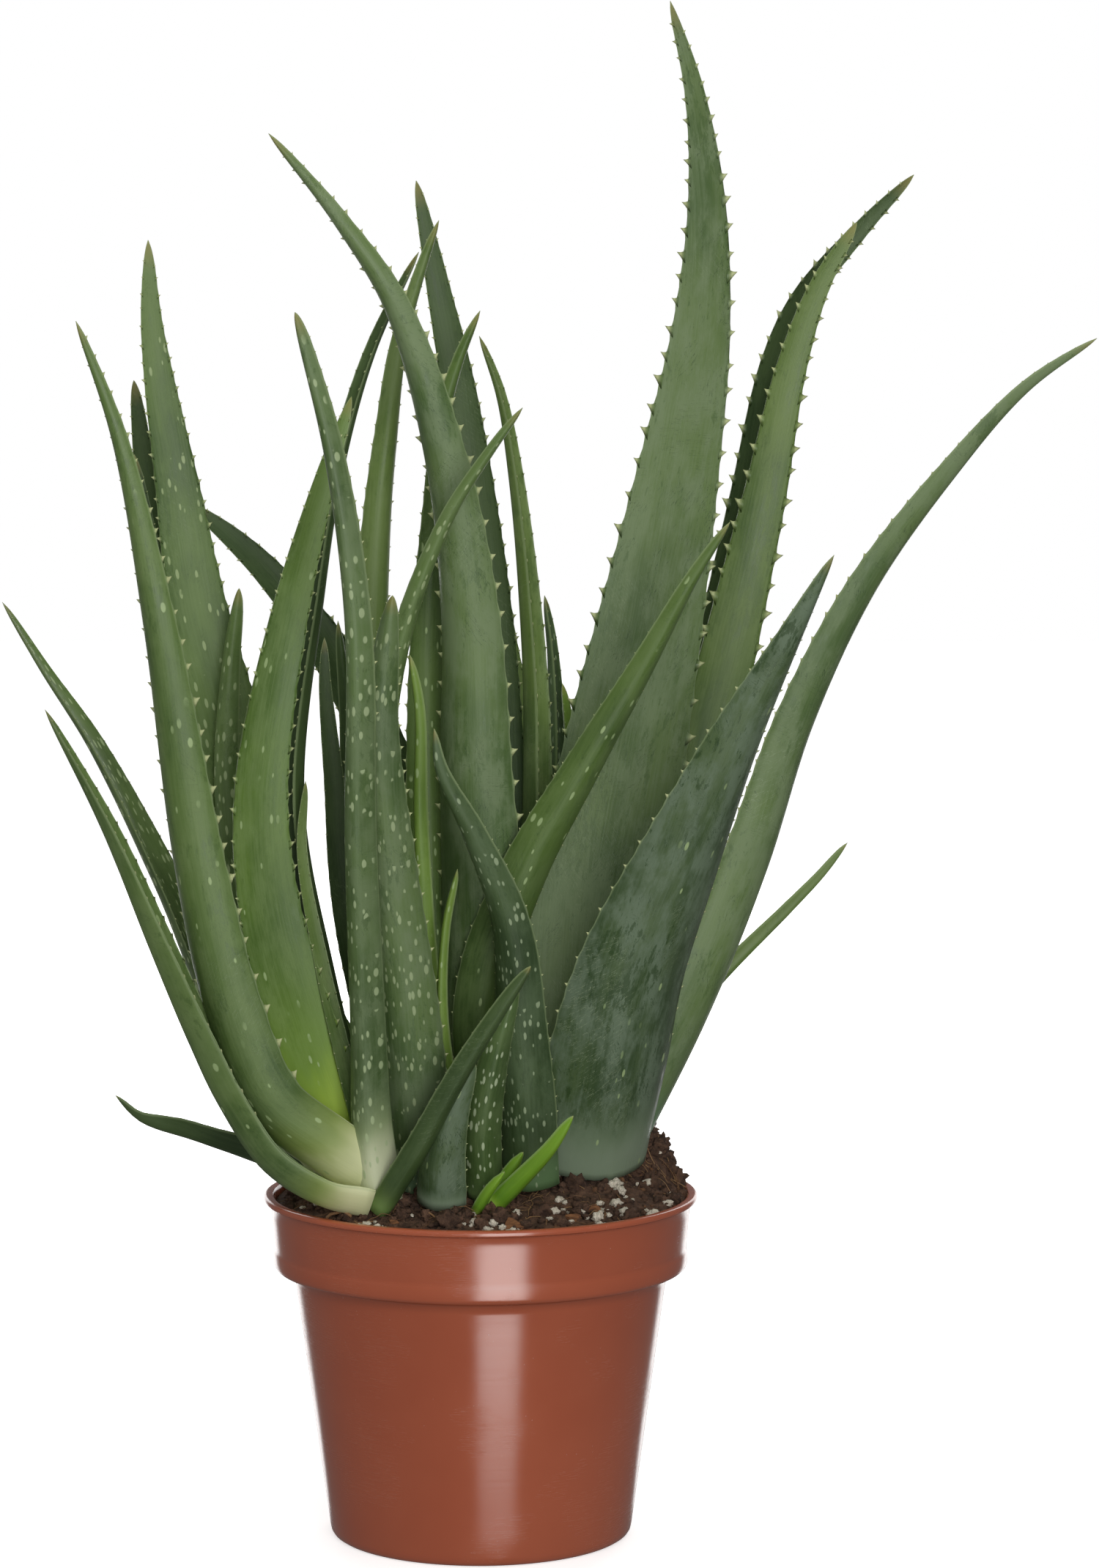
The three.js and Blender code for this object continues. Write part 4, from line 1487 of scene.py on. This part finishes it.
LEFT_LEAVES = [
    Leaf(
        "left_leaf_1",
        ((-42, -51, 139), (-59, -54, 144), (-78, -57, 157), (-94, -60, 182), (-105, -62, 206),
         (-120, -66, 242), (-138, -70, 285), (-161, -74, 330)),
        27, 8, 7, (14, -10), PALE_ROOT, neck=0.3, neck_reach=0.38, first_tooth=0.25,
    ),
    Leaf(
        "left_leaf_2",
        ((-41, -43, 147), (-58, -49, 159), (-80, -55, 178.5), (-95.5, -60, 217), (-107, -64, 271),
         (-120, -70, 362), (-133, -74, 430), (-148, -76, 474)),
        33, 10, 3, (55, 60), PALE_ROOT, Teeth.BOLD, neck=0.14, neck_reach=0.36, first_tooth=0.14,
    ),
    Leaf(
        "left_leaf_3",
        ((-39, -46, 139), (-42, -49, 166), (-43, -55, 201), (-45, -73, 281), (-45, -88, 363),
         (-53, -93, 425), (-66, -95, 477)),
        15, 8, 2, (75, 60), PALE_SPOTTED, blunt=0.5, sheath=5, first_tooth=0.55,
    ),
    Leaf(
        "left_leaf_4",
        ((-50, -31, 148), (-67, -38, 197), (-81, -43.5, 250), (-84, -46, 296), (-73, -44, 361),
         (-59, -40, 413), (-48, -36, 446)),
        30, 9, 3, (-60, -70), LIME_ROOT, blunt=0.75, first_tooth=0.06,
    ),
    Leaf(
        "left_leaf_5",
        ((-42, -31, 148), (-60, -38, 226), (-68, -38, 274), (-66, -38, 300)),
        8, 3.5, 0.8, (-60, -60), GREEN, Teeth.FINE, blunt=0.7,
    ),
    Leaf(
        "left_leaf_6",
        ((-40, -26, 144), (-60, -27, 224), (-71, -27, 292), (-62, -24, 371), (-54, -20, 418),
         (-41, -16, 463), (-23, -12, 501)),
        16, 6, 4.5, (-150, -140), SHADED_GREEN, blunt=0.8, first_tooth=0.3,
    ),
    Leaf(
        "left_leaf_7",
        ((-56, -22, 142), (-93, -14, 191), (-122, -8, 256), (-150, 0, 310), (-170, 4, 340), (-186, 6, 366)),
        31, 7, 3, (-20, -20), FRECKLED, Teeth.FINE,
    ),
    Leaf(
        "left_leaf_8",
        ((-55, -12, 140), (-85, 4, 148), (-114, 12, 156), (-134, 18, 161), (-145, 20, 170)),
        14, 5, 2.5, (0, 0), SHADED_GREEN, Teeth.FINE, blunt=0.7,
    ),
]
CENTRE_LEAVES = [
    Leaf(
        "centre_leaf_1",
        ((-24, -26, 140), (-28, -48, 206), (-34, -62, 268), (-37, -74, 319), (-34, -80, 352),
         (-31, -84, 373)),
        29, 9, 2, (75, 80), GLAUCOUS_SPOTTED, blunt=0.6,
    ),
    Leaf(
        "centre_leaf_2",
        ((-23, -14, 144), (-36, -26, 210), (-38, -40, 290), (-30, -52, 350), (-12, -60, 399), (5, -64, 426),
         (17, -66, 442)),
        14, 6, 0.8, (95, 105), FRECKLED, Teeth.FINE, blunt=0.8,
    ),
    Leaf(
        "centre_leaf_3",
        ((-6, -3, 146), (-1, -12, 231), (-3.5, -22, 301), (-5, -30, 360), (-13, -38, 419), (-31, -44, 479),
         (-52, -48, 512), (-78, -50, 544)),
        39, 12, 3, (70, 60), GLAUCOUS, Teeth.BOLD, neck=0.25,
    ),
    Leaf(
        "centre_leaf_4",
        ((-14, -12, 146), (-21, -28, 239), (-23, -34, 290), (-23, -36, 327), (-26, -38, 348)),
        9, 4, 1, (60, 60), BRIGHT, Teeth.FINE, blunt=0.6,
    ),
    Leaf(
        "centre_leaf_5",
        ((-28, -3, 144), (-52, -6, 245), (-57, -6, 299), (-60, -8, 336), (-60, -8, 353)),
        14, 5, 1.5, (-80, -80), SHADED_GREEN, Teeth.FINE, blunt=0.7,
    ),
    Leaf(
        "centre_leaf_6",
        ((-24, 2, 148), (-42, 3, 258), (-42, 5, 344), (-39, 6, 401), (-36, 8, 429), (-31, 12, 466),
         (-23, 16, 494), (-16, 18, 514)),
        22, 7, 1.5, (115, 115), GREEN, blunt=0.8,
    ),
    Leaf(
        "centre_leaf_7",
        ((-16, 2, 148), (-19, 2, 258), (-20, 3, 344), (-17, 5, 401), (-14, 8, 438), (-8, 12, 460),
         (0, 16, 479)),
        22, 7, 2, (115, 115), MOSSY, blunt=0.8,
    ),
    Leaf(
        "centre_leaf_8",
        ((-6, 7, 146), (18, 10, 243), (21, 8, 315), (18, 4, 372), (13, 0, 418), (8, -4, 446), (0, -8, 469)),
        19, 6, 6, (-25, -20), GREEN, blunt=0.8,
    ),
    Leaf(
        "centre_leaf_9",
        ((-24, 10, 144), (-48, 17, 257), (-52, 18, 320), (-56, 20, 358)),
        16, 6, 1, (110, 110), SHADED_GREEN, Teeth.FINE, blunt=0.8,
    ),
    Leaf(
        "centre_leaf_10",
        ((-12, 12, 146), (3, 22, 256), (2, 32, 342), (-3, 40, 400), (-10, 48, 452), (-18, 54, 492),
         (-26, 58, 531)),
        33, 10, 3, (-85, -85), SHADED_GREEN, blunt=0.75, neck=0.2,
    ),
]
RIGHT_LEAVES = [
    Leaf(
        "right_leaf_1",
        ((45, -16, 146), (52, -32, 188), (61, -44, 227), (79, -56, 273), (98, -68, 318), (117, -78, 357),
         (132, -86, 388)),
        56, 14, 3, (112, 125), RUBBED, neck=0.14, first_tooth=0.2,
    ),
    Leaf(
        "right_leaf_2",
        ((14, -12, 146), (2, -20, 192), (4, -24, 226), (18, -28, 264), (40, -34, 304), (63, -40, 344),
         (81, -46, 377), (95, -50, 399)),
        25, 7, 2, (95, 120), MOSSY, Teeth.FINE, blunt=0.85,
    ),
    Leaf(
        "right_leaf_3",
        ((42, 2, 150), (46, 10, 243), (57, 12, 306), (68, 12, 363), (78, 10, 418), (86, 6, 469),
         (88, 0, 519), (83, -6, 561), (73, -12, 596)),
        60, 13, 2, (-95, -105), GLAUCOUS, Teeth.BOLD, neck=0.3,
    ),
    Leaf(
        "right_leaf_4",
        ((56, 1, 150), (82, -1, 206), (106, 1, 264), (125, 0, 321), (150, -4, 373), (182, -12, 418),
         (209, -20, 449), (235, -28, 468)),
        34, 10, 2, (140, 150), GLAUCOUS, blunt=0.9, neck=0.2,
    ),
    Leaf(
        "right_leaf_5",
        ((52, 10, 150), (68, 22, 227), (85, 27, 296), (99, 29, 354), (111, 31, 406), (122, 34, 458),
         (133, 37, 489), (148, 40, 514)),
        31, 8, 3, (-85, -80), GREEN, Teeth.BOLD, blunt=0.68, neck=0.2,
    ),
    Leaf(
        "right_leaf_6",
        ((50, 18, 150), (67, 36, 225), (86, 44, 295), (97, 50, 353), (107, 54, 405), (117, 58, 458),
         (128, 62, 484), (152, 68, 513), (173, 74, 534)),
        32, 10, 4, (-85, -80), SHADED_GREEN, Teeth.BOLD, blunt=0.8, neck=0.2,
    ),
    Leaf(
        "right_leaf_7",
        ((50, 18, 150), (66, 24, 178), (91, 30, 211), (122, 36, 242), (135, 40, 255), (146, 44, 268)),
        9, 4, 2, (150, 150), GREEN, Teeth.FINE, blunt=0.7,
    ),
]
FRONT_LEAVES = [
    Leaf(
        "front_leaf_1",
        ((19, -29, 142), (15, -42, 201), (11, -54, 247), (-2, -66, 282), (-14, -74, 308), (-16, -76, 323)),
        25, 9, 2, (75, 60), DARK_SPOTTED, Teeth.FINE, blunt=0.85,
    ),
    Leaf(
        "front_leaf_2",
        ((-38, -53, 136), (-22, -61, 163), (-6, -69, 193), (8, -74, 216), (20, -77, 234)),
        11, 5, 0.5, (110, 110), SHADED_GREEN, Teeth.FINE, blunt=0.55,
    ),
    Leaf(
        "front_leaf_3",
        ((-15, -50, 138), (-14, -56, 158), (-9, -61, 178), (-1, -64, 196)),
        20, 7, 1, (80, 80), RUBBED, Teeth.FINE, blunt=0.75, neck=0.0,
    ),
    Leaf(
        "front_leaf_4",
        ((2, -40, 139), (1, -48, 165), (5, -54, 191), (10, -58, 210), (15, -60, 224)),
        17, 8, 1, (90, 90), WHITE_SPOTTED, Teeth.FINE, blunt=0.65, neck=0.2,
    ),
    Leaf(
        "front_leaf_5",
        ((-4, -30, 142), (-14, -40, 206), (-13, -42, 243), (-8, -44, 267)),
        5.5, 3, 0.6, (70, 70), BRIGHT, Teeth.FINE, blunt=0.7,
    ),
]
SPROUT_LEAVES = [
    Leaf(
        "sprout_leaf_1",
        ((5, -52, 137), (16, -58, 149), (28, -64, 163), (36, -68, 176)),
        8.5, 3.5, 1.2, (110, 120), SPROUT, Teeth.BARE, blunt=0.6,
    ),
    Leaf(
        "sprout_leaf_2",
        ((6, -45, 137), (11, -47, 149), (17, -49, 159)),
        7, 3, 0.8, (100, 100), SPROUT, Teeth.BARE, blunt=0.6,
    ),
    Leaf(
        "sprout_leaf_3",
        ((-1, -53, 136), (4, -56, 145), (10, -58, 153)),
        5, 2.5, 0.5, (100, 100), SPROUT, Teeth.BARE, blunt=0.6,
    ),
]
REAR_LEAVES = [
    Leaf(
        "rear_leaf_1",
        ((-36, 30, 142), (-68, 8, 177), (-90, 0, 235), (-99, -2, 292), (-97, -4, 343), (-93, -6, 372)),
        17, 6, 1, (70, 70), FRECKLED, Teeth.FINE, blunt=0.55,
    ),
    Leaf(
        "rear_leaf_2",
        ((-37, 36, 143), (-66, 20, 178), (-88, 16, 242), (-99, 14, 309), (-111, 12, 363), (-118, 10, 409),
         (-127, 6, 472), (-128, 4, 506)),
        40, 11, 3, (-70, -80), SPOTTED, blunt=0.8, neck=0.3,
    ),
    Leaf(
        "rear_leaf_3",
        ((-34, 43, 144), (-75, 36, 190), (-104, 32, 278), (-122, 29, 342), (-130, 27, 383),
         (-136, 26, 423)),
        22, 7, 2, (-60, -70), SHADED_GREEN, blunt=0.7,
    ),
    Leaf(
        "rear_leaf_4",
        ((-31, 48, 144), (-70, 54, 190), (-99, 50, 283), (-121, 45, 356), (-131, 41, 400), (-137, 38, 452)),
        22, 6, 2, (-60, -80), SHADED_GREEN, blunt=0.6,
    ),
    Leaf(
        "rear_leaf_5",
        ((-24, 40, 146), (-32, 50, 210), (-40, 56, 297), (-64, 60, 346), (-85, 63, 373), (-99, 65, 387),
         (-117, 67, 402)),
        32, 8, 4, (-60, -60), SHADED_GREEN, blunt=0.65, neck=0.2,
    ),
    Leaf(
        "rear_leaf_6",
        ((-38, 46, 142), (-62, 70, 178), (-84, 98, 232), (-98, 116, 280), (-106, 126, 322)),
        27, 8, 3, (-60, -60), GREEN, neck=0.2,
    ),
    Leaf(
        "rear_leaf_7",
        ((-26, 48, 144), (-34, 84, 196), (-42, 118, 256), (-46, 142, 316), (-44, 156, 362)),
        30, 9, 3, (-85, -85), GREEN, neck=0.2,
    ),
]
FAR_LEAVES = [
    Leaf(
        "far_leaf_1",
        ((20, 32, 146), (28, 26, 241), (35, 26, 290), (34, 26, 316), (32, 26, 333)),
        10, 4, 1.5, (-50, -50), BRIGHT, Teeth.FINE, blunt=0.6,
    ),
    Leaf(
        "far_leaf_2",
        ((16, 38, 146), (24, 40, 240), (29, 42, 298), (28, 41, 342), (25, 40, 367)),
        17, 6, 4, (-25, -20), DARK_SPOTTED, blunt=0.7,
    ),
    Leaf(
        "far_leaf_3",
        ((30, 42, 146), (56, 62, 220), (72, 92, 300), (78, 118, 360), (76, 136, 405)),
        34, 10, 3, (-110, -110), GREEN, blunt=0.9, neck=0.2,
    ),
    Leaf(
        "far_leaf_4",
        ((22, 48, 146), (22, 72, 210), (16, 106, 285), (8, 132, 350), (2, 146, 396)),
        30, 9, 3, (-90, -90), GREEN,
    ),
    Leaf(
        "far_leaf_5",
        ((30, 46, 142), (48, 78, 170), (58, 118, 208), (64, 150, 234), (68, 172, 246)),
        24, 8, 3, (-110, -110), GREEN, neck=0.2,
    ),
]


def rosettes() -> list[Rosette]:
    """Lists the rosettes with their leaves.

    Returns:
        The rosettes, in the order in which they are made.
    """
    return [
        Rosette("left", LEFT_LEAVES),
        Rosette("centre", CENTRE_LEAVES),
        Rosette("front", FRONT_LEAVES),
        Rosette("sprout", SPROUT_LEAVES, crowned=False),
        Rosette("right", RIGHT_LEAVES),
        Rosette("rear", REAR_LEAVES),
        Rosette("far", FAR_LEAVES),
    ]


def corners() -> list[list[float]]:
    """Gives the lowest and highest corner of what is shown, as plain numbers."""
    return [[float(v) for v in corner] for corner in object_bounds()]


def main() -> None:
    """Builds the studio, the pot, the soil and the rosettes."""
    logging.basicConfig(level=logging.INFO, format="%(name)s: %(message)s")
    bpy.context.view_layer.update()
    Studio().build()
    Pot().build()
    Soil().build()
    finishes = {leaf.finish.name: leaf.finish for rosette in rosettes() for leaf in rosette.leaves}
    materials = {name: finish.material() for name, finish in finishes.items()}
    materials["crown"] = crown_material()
    for rosette in rosettes():
        rosette.build(materials)


if __name__ == "__main__":
    main()
